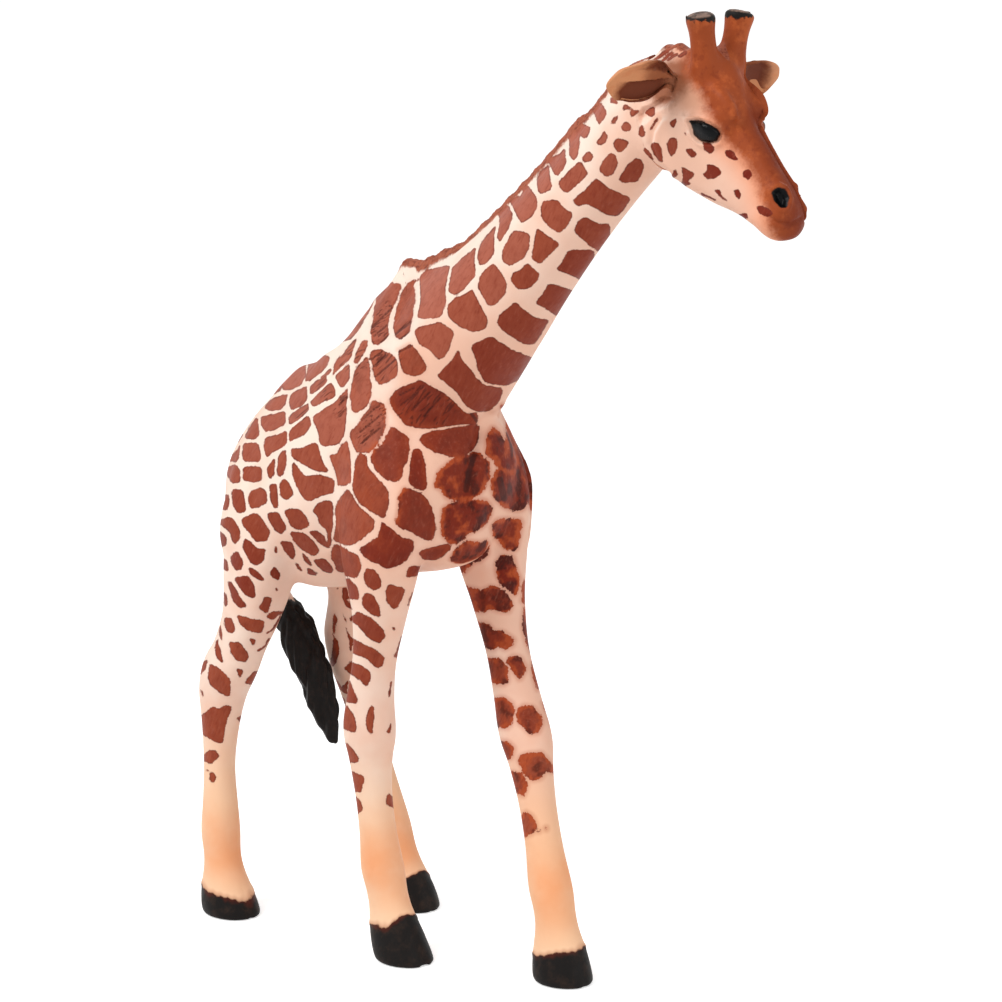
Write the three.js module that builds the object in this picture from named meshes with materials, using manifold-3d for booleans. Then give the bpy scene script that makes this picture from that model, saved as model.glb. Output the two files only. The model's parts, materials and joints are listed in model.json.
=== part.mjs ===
// Toy giraffe figure in mid-stride, moulded in separate plastic pieces that are glued at pegs and sockets.
// Units are millimetres. +Z is up, the figure faces -Y and its left side is +X.
// While it is built, Y counts backwards from the front of the chest, and Z from the ground.
import * as THREE from "three";
import { mergeVertices } from "three/addons/utils/BufferGeometryUtils.js";
import Module from "manifold-3d";

const wasm = await Module();
wasm.setup();

// Trunk
const chestBack = 4;
const trunkLength = 66;
const trunkWidth = 34;
const withersHeight = 126;
const bellyHeight = 63.5;

// Neck, from its root inside the trunk to its end inside the skull
const neckBaseBack = 30;
const neckBaseHeight = 92;
const neckReach = 73;
const neckRise = 71;
const neckDepth = 32;
const neckWidth = 24;
const neckSeamTilt = 37;
const maneHeight = 2;
const maneWidth = 2.6;
const maneStrands = 20;

// Head. Its axis starts behind and below the neck's end, and runs to the lips.
const skullSetBack = 3;
const skullSetDown = 5;
const headLength = 33.2;
const headDepth = 22;
const headWidth = 13.4;
const headPitch = 33;
const headSeamInset = 2.4;
const headSeamTilt = 12;

// Eyes, brows and nostrils: how far along the head they lie, and how high round its side, in degrees
const eyeAlong = 12.4;
const eyeTurn = 24;
const eyeLength = 5.2;
const eyeDepth = 3.8;
const eyeWidth = 3.6;
const browAlong = 10.8;
const browTurn = 46;
const browLength = 10;
const browDepth = 4.4;
const browWidth = 3;
const nostrilAlong = 29;
const nostrilTurn = 42;
const nostrilLength = 2.4;
const nostrilDepth = 1.7;
const nostrilWidth = 1.6;

// Horns
const hornAlong = 4.5;
const hornTurn = 59;
const hornLean = 30;
const hornSplay = 13;
const hornLength = 8;
const hornWidth = 4.3;
const hornTopWidth = 5.2;

// Ears
const earAlong = 2.4;
const earTurn = 36;
const earLength = 13.4;
const earWidth = 7.2;
const earThickness = 1.5;
const earBow = 2;
const rightEarSweep = 14;
const rightEarDroop = 3;
const leftEarSweep = -2;
const leftEarDroop = 6;

// Legs
const stanceWidth = 28;
const strideLength = 80;
const hoofHeight = 6;
const fetlockHeight = 16;
const foreKneeHeight = 42;
const foreSeamHeight = 66;
const foreTopHeight = 110;
const hindHockHeight = 46;
const hindSeamHeight = 60;
const hindTopHeight = 95;
const foreArmWidth = 12.6;
const foreKneeWidth = 8.4;
const hindThighWidth = 15;
const hindHockWidth = 8.6;
const hoofWidth = 10.4;
const hoofLength = 11.6;
const hoofCleftWidth = 0.9;
const hoofCleftDepth = 1.5;

// Tail
const tailDrop = 53;
const tailReach = 23;
const tailSwing = 5;
const tailWidth = 3.2;

// Pegs and pins, with the room for glue that every seam and socket keeps
const glueGap = 0.3;
const neckPegWidth = 9;
const neckPegLength = 9;
const headPegWidth = 6;
const headPegLength = 6;
const legPegWidth = 4;
const legPegLength = 7;
const hornPinWidth = 2.2;
const hornPinLength = 3.4;
const earPinWidth = 1.7;
const earPinLength = 3;
const tailPinWidth = 2.2;
const tailPinLength = 5;

// How finely each shape is divided
const trunkRings = 26;
const trunkSides = 26;
const neckRings = 22;
const neckSides = 22;
const maneSides = 8;
const headRings = 22;
const headSides = 20;
const upperLimbRings = 12;
const limbRings = 22;
const limbSides = 16;
const earRings = 10;
const earSides = 14;
const tailRings = 22;
const tailSides = 10;
const roundSides = 16;

const turn = THREE.MathUtils.degToRad;
const between = THREE.MathUtils.lerp;
const across = new THREE.Vector3(1, 0, 0);
const forwards = new THREE.Vector3(0, -1, 0);
const upwards = new THREE.Vector3(0, 0, 1);

// The row of a table at x, on a smooth curve through the rows. The first column is x.
function rowAt(table, x) {
  const last = table.length - 1;
  let i = 0;
  while (i < last - 1 && x > table[i + 1][0]) i += 1;
  const [from, to] = [table[i], table[i + 1]];
  const before = table[Math.max(i - 1, 0)];
  const after = table[Math.min(i + 2, last)];
  const span = to[0] - from[0];
  const t = THREE.MathUtils.clamp((x - from[0]) / span, 0, 1);
  return from.map((value, column) => {
    const startSlope = ((to[column] - before[column]) / (to[0] - before[0])) * span;
    const endSlope = ((after[column] - value) / (after[0] - from[0])) * span;
    const rise = to[column] - value;
    const bend = 3 * rise - 2 * startSlope - endSlope;
    const twist = startSlope + endSlope - 2 * rise;
    return value + t * (startSlope + t * (bend + t * twist));
  });
}

// A table of shares turned into sizes: each column times its own size, plus its own start.
function sized(shares, sizes, starts = []) {
  return shares.map((row) => row.map((share, i) => share * sizes[i] + (starts[i] ?? 0)));
}

// Evenly spaced values from a to b, both included.
function spread(a, b, count) {
  return Array.from({ length: count }, (_, i) => between(a, b, i / (count - 1)));
}

// A point of a ring, at an angle above its widest level. A pinch narrows the ring's top.
function ringPoint({ centre, upward, half, up, down, pinch }, angle) {
  const rise = Math.sin(angle);
  const width = half * Math.cos(angle) * (rise > 0 ? 1 - pinch * rise * rise : 1);
  return centre
    .clone()
    .addScaledVector(across, width)
    .addScaledVector(upward, rise * (rise > 0 ? up : down));
}

function ring(section, sides) {
  return Array.from({ length: sides }, (_, i) => ringPoint(section, (2 * Math.PI * i) / sides));
}

// A solid from triangles over a list of points, faces turned outwards.
function solid(points, faces) {
  const volume = faces.reduce((sum, [a, b, c]) => {
    return sum + points[a].dot(new THREE.Vector3().crossVectors(points[b], points[c]));
  }, 0);
  const outward = volume < 0 ? faces.map(([a, b, c]) => [a, c, b]) : faces;
  const vertProperties = new Float32Array(points.flatMap((point) => point.toArray()));
  const triVerts = new Uint32Array(outward.flat());
  return new wasm.Manifold(new wasm.Mesh({ numProp: 3, vertProperties, triVerts }));
}

// A closed skin over rings of equal length. Each end closes on the middle of its ring.
function skin(rings) {
  const sides = rings[0].length;
  const points = rings.flat();
  const faces = [];
  for (let r = 0; r < rings.length - 1; r += 1) {
    for (let i = 0; i < sides; i += 1) {
      const [a, b] = [r * sides + i, r * sides + ((i + 1) % sides)];
      faces.push([a, b, b + sides], [a, b + sides, a + sides]);
    }
  }
  for (const r of [0, rings.length - 1]) {
    const middle = new THREE.Vector3();
    rings[r].forEach((point) => middle.addScaledVector(point, 1 / sides));
    const tip = points.push(middle) - 1;
    for (let i = 0; i < sides; i += 1) {
      const [a, b] = [r * sides + i, r * sides + ((i + 1) % sides)];
      faces.push(r === 0 ? [b, a, tip] : [a, b, tip]);
    }
  }
  return solid(points, faces);
}

// A three.js geometry, placed by a matrix, as a solid.
function solidOf(geometry, matrix) {
  const bare = geometry.clone().applyMatrix4(matrix);
  bare.deleteAttribute("normal");
  bare.deleteAttribute("uv");
  const merged = mergeVertices(bare);
  const vertProperties = merged.getAttribute("position").array;
  const triVerts = new Uint32Array(merged.index.array);
  return new wasm.Manifold(new wasm.Mesh({ numProp: 3, vertProperties, triVerts }));
}

// The matrix that moves a shape's own +Z onto a direction, and its origin onto a place.
function aimed(place, direction) {
  const quaternion = new THREE.Quaternion().setFromUnitVectors(upwards, direction.clone().normalize());
  return new THREE.Matrix4().compose(place, quaternion, new THREE.Vector3(1, 1, 1));
}

// A peg or pin that reaches from a place in a direction, and is rooted half as deep behind it.
// As a socket, it is larger all round by the clearance.
function peg({ place, direction, width, length, square }, clearance = 0) {
  const root = length / 2;
  const [wide, long] = [width + clearance * 2, length + root + clearance];
  const middle = place.clone().addScaledVector(direction, long / 2 - root);
  const geometry = square
    ? new THREE.BoxGeometry(wide, wide, long)
    : new THREE.CylinderGeometry(wide / 2, wide / 2, long, roundSides).rotateX(Math.PI / 2);
  return solidOf(geometry, aimed(middle, direction));
}

// Everything on the side of a plane that its normal points to.
function beyond(place, normal) {
  const reach = withersHeight * 4;
  const middle = place.clone().addScaledVector(normal, reach / 2);
  return solidOf(new THREE.BoxGeometry(reach, reach, reach), aimed(middle, normal));
}

// What lies on either side of a seam, less half of the room for glue
function ahead({ place, normal }) {
  return beyond(place.clone().addScaledVector(normal, glueGap / 2), normal);
}

function behind({ place, normal }) {
  return beyond(place.clone().addScaledVector(normal, -glueGap / 2), normal.clone().negate());
}

// A seam's normal lies in the figure's middle plane, tilted up from straight ahead.
function seamNormal(tilt) {
  return new THREE.Vector3(0, -Math.cos(turn(tilt)), Math.sin(turn(tilt)));
}

// Trunk: back, crest height, keel height, half width, level of the widest point, pinch of the crest
const trunkShares = [
  [0.0, 0.71, 1.36, 0.14, 0.5, 0],
  [0.02, 0.755, 1.27, 0.38, 0.52, 0],
  [0.06, 0.8, 1.18, 0.67, 0.53, 0.1],
  [0.15, 0.86, 1.135, 0.84, 0.47, 0.25],
  [0.27, 0.985, 1.105, 0.93, 0.43, 0.5],
  [0.39, 0.955, 1.065, 0.98, 0.42, 0.5],
  [0.5, 0.892, 1.03, 1.0, 0.43, 0.35],
  [0.63, 0.838, 1.0, 0.99, 0.45, 0.2],
  [0.75, 0.816, 0.998, 0.92, 0.48, 0.15],
  [0.85, 0.775, 1.01, 0.78, 0.52, 0.12],
  [0.92, 0.736, 1.05, 0.61, 0.52, 0.1],
  [0.965, 0.704, 1.11, 0.42, 0.5, 0],
  [0.99, 0.678, 1.18, 0.24, 0.5, 0],
  [1.0, 0.655, 1.24, 0.1, 0.5, 0],
];
const trunkTable = sized(trunkShares, [1, withersHeight, bellyHeight, trunkWidth / 2, 1, 1]);
const trunkEasingShare = 0.06;

function trunkSection(share) {
  const [, crest, keel, half, level, pinch] = rowAt(trunkTable, share);
  const widest = between(keel, crest, level);
  const centre = new THREE.Vector3(0, chestBack + trunkLength * share, widest);
  return { centre, upward: upwards, half, up: crest - widest, down: widest - keel, pinch };
}

// A section that is larger all round
function grown(section, extra) {
  const { half, up, down } = section;
  return { ...section, half: half + extra, up: up + extra, down: down + extra };
}

function trunkSkin(extra = 0) {
  const rings = spread(0, 1, trunkRings).map((share) => {
    const eased = share - Math.sin(2 * Math.PI * share) * trunkEasingShare;
    return ring(grown(trunkSection(eased), extra), trunkSides);
  });
  return skin(rings);
}

// Neck: along, reach forwards, rise, half width, depth on the mane's side and the throat's, pinch
const neckShares = [
  [0.0, 0.0, 0.0, 0.9, 0.84, 0.84, 0.3],
  [0.13, 0.137, 0.127, 1.0, 0.95, 0.74, 0.45],
  [0.26, 0.26, 0.275, 0.95, 0.94, 0.73, 0.45],
  [0.39, 0.384, 0.408, 0.82, 0.76, 0.68, 0.35],
  [0.52, 0.507, 0.532, 0.66, 0.6, 0.6, 0.25],
  [0.64, 0.63, 0.655, 0.565, 0.51, 0.54, 0.2],
  [0.76, 0.74, 0.76, 0.525, 0.47, 0.5, 0.2],
  [0.88, 0.836, 0.852, 0.52, 0.47, 0.49, 0.15],
  [0.95, 0.918, 0.93, 0.52, 0.49, 0.48, 0.1],
  [1.0, 1.0, 1.0, 0.4, 0.34, 0.34, 0],
];
const neckTable = sized(
  neckShares,
  [1, -neckReach, neckRise, neckWidth / 2, neckDepth / 2, neckDepth / 2, 1],
  [0, neckBaseBack, neckBaseHeight],
);
const headingStepShare = 0.02;

function neckPlace(share) {
  const [, back, height] = rowAt(neckTable, share);
  return new THREE.Vector3(0, back, height);
}

// The neck's section, square to the line that it follows
function neckSection(share) {
  const [, , , half, up, down, pinch] = rowAt(neckTable, share);
  const heading = neckPlace(share + headingStepShare).sub(neckPlace(share - headingStepShare));
  const upward = heading.normalize().cross(across);
  return { centre: neckPlace(share), upward, half, up, down, pinch };
}

function neckSkin() {
  return skin(spread(0, 1, neckRings).map((share) => ring(neckSection(share), neckSides)));
}

// The mane stands on the neck's crest as one low ridge of strands, and is moulded with it.
const maneStartShare = 0.18;
const maneEndShare = 0.97;
const maneFadeShare = 0.07;
const strandDipShare = 0.35;
const manePinch = 0.3;

function maneSkin() {
  const rings = spread(0, 1, maneStrands * 2 + 1).map((along, i) => {
    const { centre, upward, up } = neckSection(between(maneStartShare, maneEndShare, along));
    const fade = Math.min(1, along / maneFadeShare, (1 - along) / maneFadeShare);
    const proud = maneHeight * fade * (i % 2 === 0 ? 1 - strandDipShare : 1);
    const section = {
      centre: centre.addScaledVector(upward, up - maneWidth),
      upward,
      half: maneWidth / 2,
      up: maneWidth + proud,
      down: maneWidth / 2,
      pinch: manePinch,
    };
    return ring(section, maneSides);
  });
  return skin(rings);
}

// Head, from the back of the skull to the lips:
// along, height above and depth below the axis, half width, level of the widest point, pinch of the top
const headShares = [
  [-0.19, 0.36, 0.5, 0.55, 0.5, 0],
  [-0.06, 0.98, 0.68, 0.84, 0.42, 0.1],
  [0.06, 1.28, 0.79, 0.98, 0.39, 0.2],
  [0.17, 1.36, 0.76, 1.02, 0.42, 0.25],
  [0.29, 1.22, 0.69, 0.99, 0.49, 0.25],
  [0.41, 1.02, 0.6, 0.86, 0.52, 0.3],
  [0.53, 0.87, 0.5, 0.73, 0.5, 0.3],
  [0.65, 0.76, 0.37, 0.64, 0.47, 0.25],
  [0.77, 0.64, 0.29, 0.61, 0.45, 0.15],
  [0.86, 0.56, 0.28, 0.64, 0.45, 0.1],
  [0.93, 0.44, 0.24, 0.61, 0.45, 0.05],
  [0.975, 0.28, 0.16, 0.48, 0.45, 0],
  [1.0, 0.12, 0.05, 0.2, 0.5, 0],
];
const headTable = sized(headShares, [headLength, headDepth / 2, headDepth / 2, headWidth / 2, 1, 1]);
const headAxis = new THREE.Vector3(0, -Math.cos(turn(headPitch)), -Math.sin(turn(headPitch)));
const headUp = new THREE.Vector3(0, -Math.sin(turn(headPitch)), Math.cos(turn(headPitch)));
const headStart = neckPlace(1).add(new THREE.Vector3(0, skullSetBack, -skullSetDown));

function headSection(along) {
  const [, above, below, half, level, pinch] = rowAt(headTable, along);
  const widest = between(-below, above, level);
  const centre = headStart.clone().addScaledVector(headAxis, along).addScaledVector(headUp, widest);
  return { centre, upward: headUp, half, up: above - widest, down: widest + below, pinch };
}

function headSkin(extra = 0) {
  const rings = spread(headTable[0][0], headLength, headRings).map((along) =>
    ring(grown(headSection(along), extra), headSides),
  );
  return skin(rings);
}

// A place on the head's skin, on the right (-1) or left (1), turned up from its widest level
function onHead(side, along, degrees) {
  const angle = turn(degrees);
  return ringPoint(headSection(along), side < 0 ? Math.PI - angle : angle);
}

// A ball on the head, stretched along its axis, across it and upwards
function lump(place, length, width, height) {
  const basis = new THREE.Matrix4().makeBasis(headAxis, across, headUp).setPosition(place);
  const geometry = new THREE.SphereGeometry(1 / 2, roundSides, roundSides / 2);
  return solidOf(geometry.scale(length, width, height), basis);
}

// Brows and eyeballs stand out from the head, and nostrils sink in, one of each on each side.
function withFeatures(head) {
  let shaped = head;
  for (const side of [-1, 1]) {
    const brow = onHead(side, browAlong, browTurn).addScaledVector(across, (-side * browWidth) / 8);
    const eye = onHead(side, eyeAlong, eyeTurn).addScaledVector(across, (-side * eyeWidth) / 8);
    const nostril = onHead(side, nostrilAlong, nostrilTurn);
    shaped = shaped
      .add(lump(brow, browLength, browWidth, browDepth))
      .add(lump(eye, eyeLength, eyeWidth, eyeDepth))
      .subtract(lump(nostril, nostrilLength, nostrilWidth, nostrilDepth));
  }
  return shaped;
}

// Horn: out from its own axis, and up. A sunk foot, a straight shaft and a flared blunt top
const hornFootShares = [[0, -0.35], [0.6, -0.35], [0.62, -0.1], [0.54, 0.12], [0.5, 0.3], [0.48, 0.6]];
const hornTopShares = [[0.88, 0.83], [1, 0.9], [0.95, 0.96], [0.7, 1], [0, 1.02]];

// Horns lean back from the face, and apart from each other.
function hornDirection(side) {
  const leant = headUp.clone().applyAxisAngle(across, turn(-hornLean));
  return leant.addScaledVector(across, side * Math.tan(turn(hornSplay))).normalize();
}

function hornBody(side, extra = 0) {
  const foot = sized(hornFootShares, [hornWidth + extra * 2, hornLength]);
  const top = sized(hornTopShares, [hornTopWidth / 2 + extra, hornLength]);
  const profile = [...foot, ...top].map(([out, up]) => new THREE.Vector2(out, up));
  const turned = new THREE.LatheGeometry(profile, roundSides).rotateX(Math.PI / 2);
  return solidOf(turned, aimed(onHead(side, hornAlong, hornTurn), hornDirection(side)));
}

function hornPin(side) {
  return {
    place: onHead(side, hornAlong, hornTurn),
    direction: hornDirection(side).negate(),
    width: hornPinWidth,
    length: hornPinLength,
  };
}

function horn(side) {
  return hornBody(side).subtract(headSkin(glueGap)).add(peg(hornPin(side)));
}

// Ear: along, half width, thickness, bow. A narrow root opens into a cupped leaf.
const earShares = [
  [-0.1, 0.3, 1.5, 0.3],
  [0.1, 0.34, 1.5, 0.5],
  [0.3, 0.74, 1.1, 0.9],
  [0.5, 1.0, 1.0, 1.0],
  [0.72, 0.93, 0.9, 0.8],
  [0.9, 0.62, 0.8, 0.4],
  [1.0, 0.16, 0.5, 0.1],
];
const earTable = sized(earShares, [earLength, earWidth / 2, earThickness / 2, earBow]);

function earDirection(side) {
  const sweep = turn(side < 0 ? rightEarSweep : leftEarSweep);
  const droop = turn(side < 0 ? rightEarDroop : leftEarDroop);
  return new THREE.Vector3(side * Math.cos(sweep), Math.sin(sweep), -Math.tan(droop)).normalize();
}

function earPin(side) {
  return {
    place: onHead(side, earAlong, earTurn),
    direction: earDirection(side).negate(),
    width: earPinWidth,
    length: earPinLength,
  };
}

function ear(side) {
  const direction = earDirection(side);
  const rearward = direction.clone().cross(headUp).multiplyScalar(-side).normalize();
  const upward = rearward.clone().cross(direction).multiplyScalar(-side);
  const rings = spread(earTable[0][0], earLength, earRings).map((along) => {
    const [, half, thick, bow] = rowAt(earTable, along);
    return Array.from({ length: earSides }, (_, i) => {
      const angle = (2 * Math.PI * i) / earSides;
      const [wide, deep] = [Math.cos(angle), Math.sin(angle)];
      return onHead(side, earAlong, earTurn)
        .addScaledVector(direction, along)
        .addScaledVector(upward, half * wide)
        .addScaledVector(rearward, thick * deep - bow * wide * wide);
    });
  });
  return skin(rings)
    .subtract(headSkin(glueGap))
    .subtract(hornBody(side, glueGap))
    .add(peg(earPin(side)));
}

// Limbs: height, half width, then how far the limb reaches forwards and backwards of its line
const [arm, knee, thigh, hock] = [foreArmWidth, foreKneeWidth, hindThighWidth, hindHockWidth].map(
  (width) => width / 2,
);
const [hoofHalf, hoofFore] = [hoofWidth / 2, hoofLength / 2];

const foreThickness = [
  [0, hoofHalf, hoofFore * 1.1, hoofFore * 0.9],
  [hoofHeight / 2, hoofHalf * 0.95, hoofFore * 1.04, hoofFore * 0.9],
  [hoofHeight, hoofHalf * 0.84, hoofFore * 0.97, hoofFore * 0.8],
  [between(hoofHeight, fetlockHeight, 0.46), knee * 0.84, knee * 0.96, knee * 0.9],
  [fetlockHeight, knee * 0.94, knee * 0.9, knee * 1.08],
  [between(fetlockHeight, foreKneeHeight, 0.22), knee * 0.8, knee * 0.8, knee * 0.94],
  [between(fetlockHeight, foreKneeHeight, 0.52), knee * 0.76, knee * 0.82, knee * 0.88],
  [between(fetlockHeight, foreKneeHeight, 0.81), knee * 0.88, knee * 1.04, knee * 1.04],
  [foreKneeHeight, knee * 1.07, knee * 1.3, knee * 1.26],
  [between(foreKneeHeight, foreSeamHeight, 0.21), knee, knee * 1.14, knee * 1.12],
  [between(foreKneeHeight, foreSeamHeight, 0.6), knee * 0.93, knee * 1.02, knee * 0.94],
  [foreSeamHeight, arm * 0.78, arm * 0.9, arm * 0.84],
  [between(foreSeamHeight, foreTopHeight, 0.25), arm * 0.94, arm * 1.3, arm * 1.56],
  [between(foreSeamHeight, foreTopHeight, 0.5), arm, arm * 1.4, arm * 1.8],
  [between(foreSeamHeight, foreTopHeight, 0.75), arm * 0.7, arm * 0.95, arm * 1.5],
  [foreTopHeight, arm * 0.3, arm * 0.4, arm * 0.7],
];

const hindThickness = [
  [0, hoofHalf, hoofFore * 1.12, hoofFore],
  [hoofHeight / 2, hoofHalf * 0.95, hoofFore * 1.02, hoofFore * 0.96],
  [hoofHeight, hoofHalf * 0.82, hoofFore * 0.84, hoofFore * 0.82],
  [between(hoofHeight, fetlockHeight, 0.4), hock * 0.78, hock * 0.84, hock * 0.88],
  [between(hoofHeight, fetlockHeight, 0.92), hock * 0.84, hock * 0.86, hock * 0.98],
  [between(fetlockHeight, hindHockHeight, 0.16), hock * 0.74, hock * 0.8, hock * 0.86],
  [between(fetlockHeight, hindHockHeight, 0.42), hock * 0.66, hock * 0.7, hock * 0.78],
  [between(fetlockHeight, hindHockHeight, 0.73), hock * 0.82, hock * 1.0, hock * 0.9],
  [hindHockHeight, hock * 1.08, hock * 1.42, hock * 1.34],
  [between(hindHockHeight, hindSeamHeight, 0.33), hock * 1.08, hock * 1.4, hock * 1.68],
  [between(hindHockHeight, hindSeamHeight, 0.75), thigh * 0.7, thigh * 0.88, thigh * 0.9],
  [between(hindSeamHeight, hindTopHeight, 0.1), thigh * 0.8, thigh * 1.05, thigh * 0.95],
  [between(hindSeamHeight, hindTopHeight, 0.35), thigh * 0.92, thigh * 1.4, thigh * 1.24],
  [between(hindSeamHeight, hindTopHeight, 0.62), thigh * 0.93, thigh * 1.55, thigh * 1.22],
  [between(hindSeamHeight, hindTopHeight, 0.84), thigh * 0.7, thigh * 1.2, thigh * 0.9],
  [hindTopHeight, thigh * 0.3, thigh * 0.6, thigh * 0.5],
];

// The line that each leg follows: heights, then how far out in half stances and back in strides
const foreHeights = [
  0,
  hoofHeight,
  fetlockHeight,
  foreKneeHeight,
  foreSeamHeight,
  between(foreSeamHeight, foreTopHeight, 0.5),
  foreTopHeight,
];
const hindHeights = [
  0,
  hoofHeight,
  fetlockHeight,
  between(fetlockHeight, hindHockHeight, 0.85),
  between(hindHockHeight, hindSeamHeight, 0.26),
  hindSeamHeight,
  between(hindSeamHeight, hindTopHeight, 0.46),
  hindTopHeight,
];
const shoulderShares = [[0.84, 0.236], [0.81, 0.21], [0.55, 0.24]];
const hipShares = [[0.76, 0.65], [0.68, 0.65]];
const legShares = {
  front_right_leg: [[0.52, 0.225], [0.52, 0.258], [0.54, 0.288], [0.68, 0.306], ...shoulderShares],
  front_left_leg: [
    [0.42, -0.12], [0.44, -0.105], [0.47, -0.078], [0.64, 0.04], [0.82, 0.17], ...shoulderShares.slice(1),
  ],
  hind_right_leg: [
    [0.94, 0.755], [0.94, 0.775], [0.93, 0.79], [0.93, 0.78], [0.92, 0.735], [0.88, 0.68], ...hipShares,
  ],
  hind_left_leg: [
    [1.02, 0.505], [1.02, 0.525], [1.0, 0.57], [0.94, 0.672], [0.92, 0.682], [0.88, 0.65], ...hipShares,
  ],
};

// What differs between the fore and hind legs, and between the sides
function legPlan(name) {
  const side = name.includes("right") ? -1 : 1;
  return name.startsWith("front")
    ? { side, heights: foreHeights, thickness: foreThickness, seam: foreSeamHeight, top: foreTopHeight }
    : { side, heights: hindHeights, thickness: hindThickness, seam: hindSeamHeight, top: hindTopHeight };
}

// The middle of a leg at a height
function legPlace(name, height) {
  const { side, heights } = legPlan(name);
  const rows = legShares[name].map(([out, back], i) => [
    heights[i],
    (side * out * stanceWidth) / 2,
    back * strideLength,
  ]);
  const [, out, back] = rowAt(rows, height);
  return new THREE.Vector3(out, back, height);
}

// A stretch of a limb between two heights
function limb(name, low, high, count) {
  const { thickness } = legPlan(name);
  const rings = spread(low, high, count).map((height) => {
    const [, half, up, down] = rowAt(thickness, height);
    return ring({ centre: legPlace(name, height), upward: forwards, half, up, down, pinch: 0 }, limbSides);
  });
  return skin(rings);
}

// The part of a limb that is moulded with the torso
function upperLimb(name) {
  const { seam, top } = legPlan(name);
  return limb(name, seam, top, upperLimbRings);
}

function legPeg(name) {
  const place = legPlace(name, legPlan(name).seam);
  return { place, direction: upwards, width: legPegWidth, length: legPegLength, square: true };
}

// The cut between the toes of a hoof
function hoofCleft(name) {
  const sole = legPlace(name, 0);
  const toe = sole.addScaledVector(forwards, hoofFore * 1.1).setZ(hoofHeight / 2);
  const geometry = new THREE.BoxGeometry(hoofCleftWidth, hoofCleftDepth * 2, hoofHeight * 2);
  return solidOf(geometry, new THREE.Matrix4().setPosition(toe));
}

// A leg from its sole up to its seam, with its peg
function leg(name) {
  return limb(name, 0, legPlan(name).seam - glueGap, limbRings)
    .subtract(hoofCleft(name))
    .subtract(trunkSkin(glueGap))
    .add(peg(legPeg(name)));
}

// Tail: along, reach backwards, drop, swing to the left, half width. A thin stem ends in a tuft.
const tailShares = [
  [0.0, -0.08, 0.0, 0, 1.1],
  [0.08, 0.07, 0.03, 0.1, 1.1],
  [0.18, 0.15, 0.14, 0.22, 1],
  [0.32, 0.13, 0.3, 0.34, 0.9],
  [0.44, -0.04, 0.43, 0.46, 1],
  [0.52, -0.22, 0.51, 0.56, 1.6],
  [0.62, -0.4, 0.6, 0.68, 2.1],
  [0.75, -0.55, 0.74, 0.82, 2.15],
  [0.88, -0.68, 0.87, 0.93, 1.6],
  [0.96, -0.75, 0.95, 0.98, 1.0],
  [1.0, -0.78, 1, 1, 0.4],
];
const tailSeatShare = 0.994;
const tailSeatHeight = rowAt(trunkTable, tailSeatShare)[1];
const tailSeat = new THREE.Vector3(0, chestBack + trunkLength * tailSeatShare, tailSeatHeight);
const tailTable = sized(
  tailShares,
  [1, tailReach, -tailDrop, tailSwing, tailWidth / 2],
  [0, tailSeat.y, tailSeat.z],
);
const tailPin = { place: tailSeat, direction: forwards, width: tailPinWidth, length: tailPinLength };

function tailPlace(share) {
  const [, back, height, swing] = rowAt(tailTable, share);
  return new THREE.Vector3(swing, back, height);
}

function tail() {
  const rings = spread(0, 1, tailRings).map((share) => {
    const half = rowAt(tailTable, share)[4];
    const heading = tailPlace(share + headingStepShare).sub(tailPlace(share - headingStepShare));
    const upward = across.clone().cross(heading.normalize()).normalize();
    return ring({ centre: tailPlace(share), upward, half, up: half, down: half, pinch: 0 }, tailSides);
  });
  return skin(rings).subtract(trunkSkin(glueGap)).add(peg(tailPin));
}

// The two seams of the neck, and the pegs that cross them
const neckSeamShare = 0.24;
const neckSeam = { place: neckPlace(neckSeamShare), normal: seamNormal(neckSeamTilt) };
const headSeam = {
  place: headStart.clone().addScaledVector(headAxis, -headSeamInset),
  normal: seamNormal(headSeamTilt),
};
const neckPeg = {
  place: neckSeam.place,
  direction: neckSeam.normal.clone().negate(),
  width: neckPegWidth,
  length: neckPegLength,
  square: true,
};
const headPeg = {
  place: headSeam.place,
  direction: headSeam.normal,
  width: headPegWidth,
  length: headPegLength,
  square: true,
};

function torso(trunk, wholeNeck) {
  let shaped = trunk.add(wholeNeck).intersect(behind(neckSeam));
  for (const name of Object.keys(legShares)) shaped = shaped.add(upperLimb(name));
  for (const name of Object.keys(legShares)) shaped = shaped.subtract(peg(legPeg(name), glueGap));
  return shaped.subtract(peg(neckPeg, glueGap)).subtract(peg(tailPin, glueGap));
}

function neck(trunk, wholeNeck) {
  return trunk
    .add(wholeNeck)
    .add(headSkin())
    .intersect(ahead(neckSeam))
    .intersect(behind(headSeam))
    .add(peg(neckPeg))
    .add(peg(headPeg));
}

function head(wholeNeck) {
  let shaped = withFeatures(wholeNeck.add(headSkin())).intersect(ahead(headSeam));
  for (const side of [-1, 1]) {
    shaped = shaped.subtract(peg(hornPin(side), glueGap)).subtract(peg(earPin(side), glueGap));
  }
  return shaped.subtract(peg(headPeg, glueGap));
}

// Painted plastic, as each piece looks from a step away
function plastic(color, roughness) {
  return new THREE.MeshStandardMaterial({ color, roughness, metalness: 0 });
}

const finishes = {
  coat: () => plastic(0xf3ddc6, 0.5),
  tan: () => plastic(0xb5642f, 0.5),
  black: () => plastic(0x231f1f, 0.45),
};

function meshOf(name, made, finish) {
  const { vertProperties, triVerts } = made.getMesh();
  const geometry = new THREE.BufferGeometry();
  geometry.setAttribute("position", new THREE.BufferAttribute(vertProperties, 3));
  geometry.setIndex(new THREE.BufferAttribute(triVerts, 1));
  geometry.computeVertexNormals();
  const mesh = new THREE.Mesh(geometry, finishes[finish]());
  mesh.name = name;
  return mesh;
}

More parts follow.
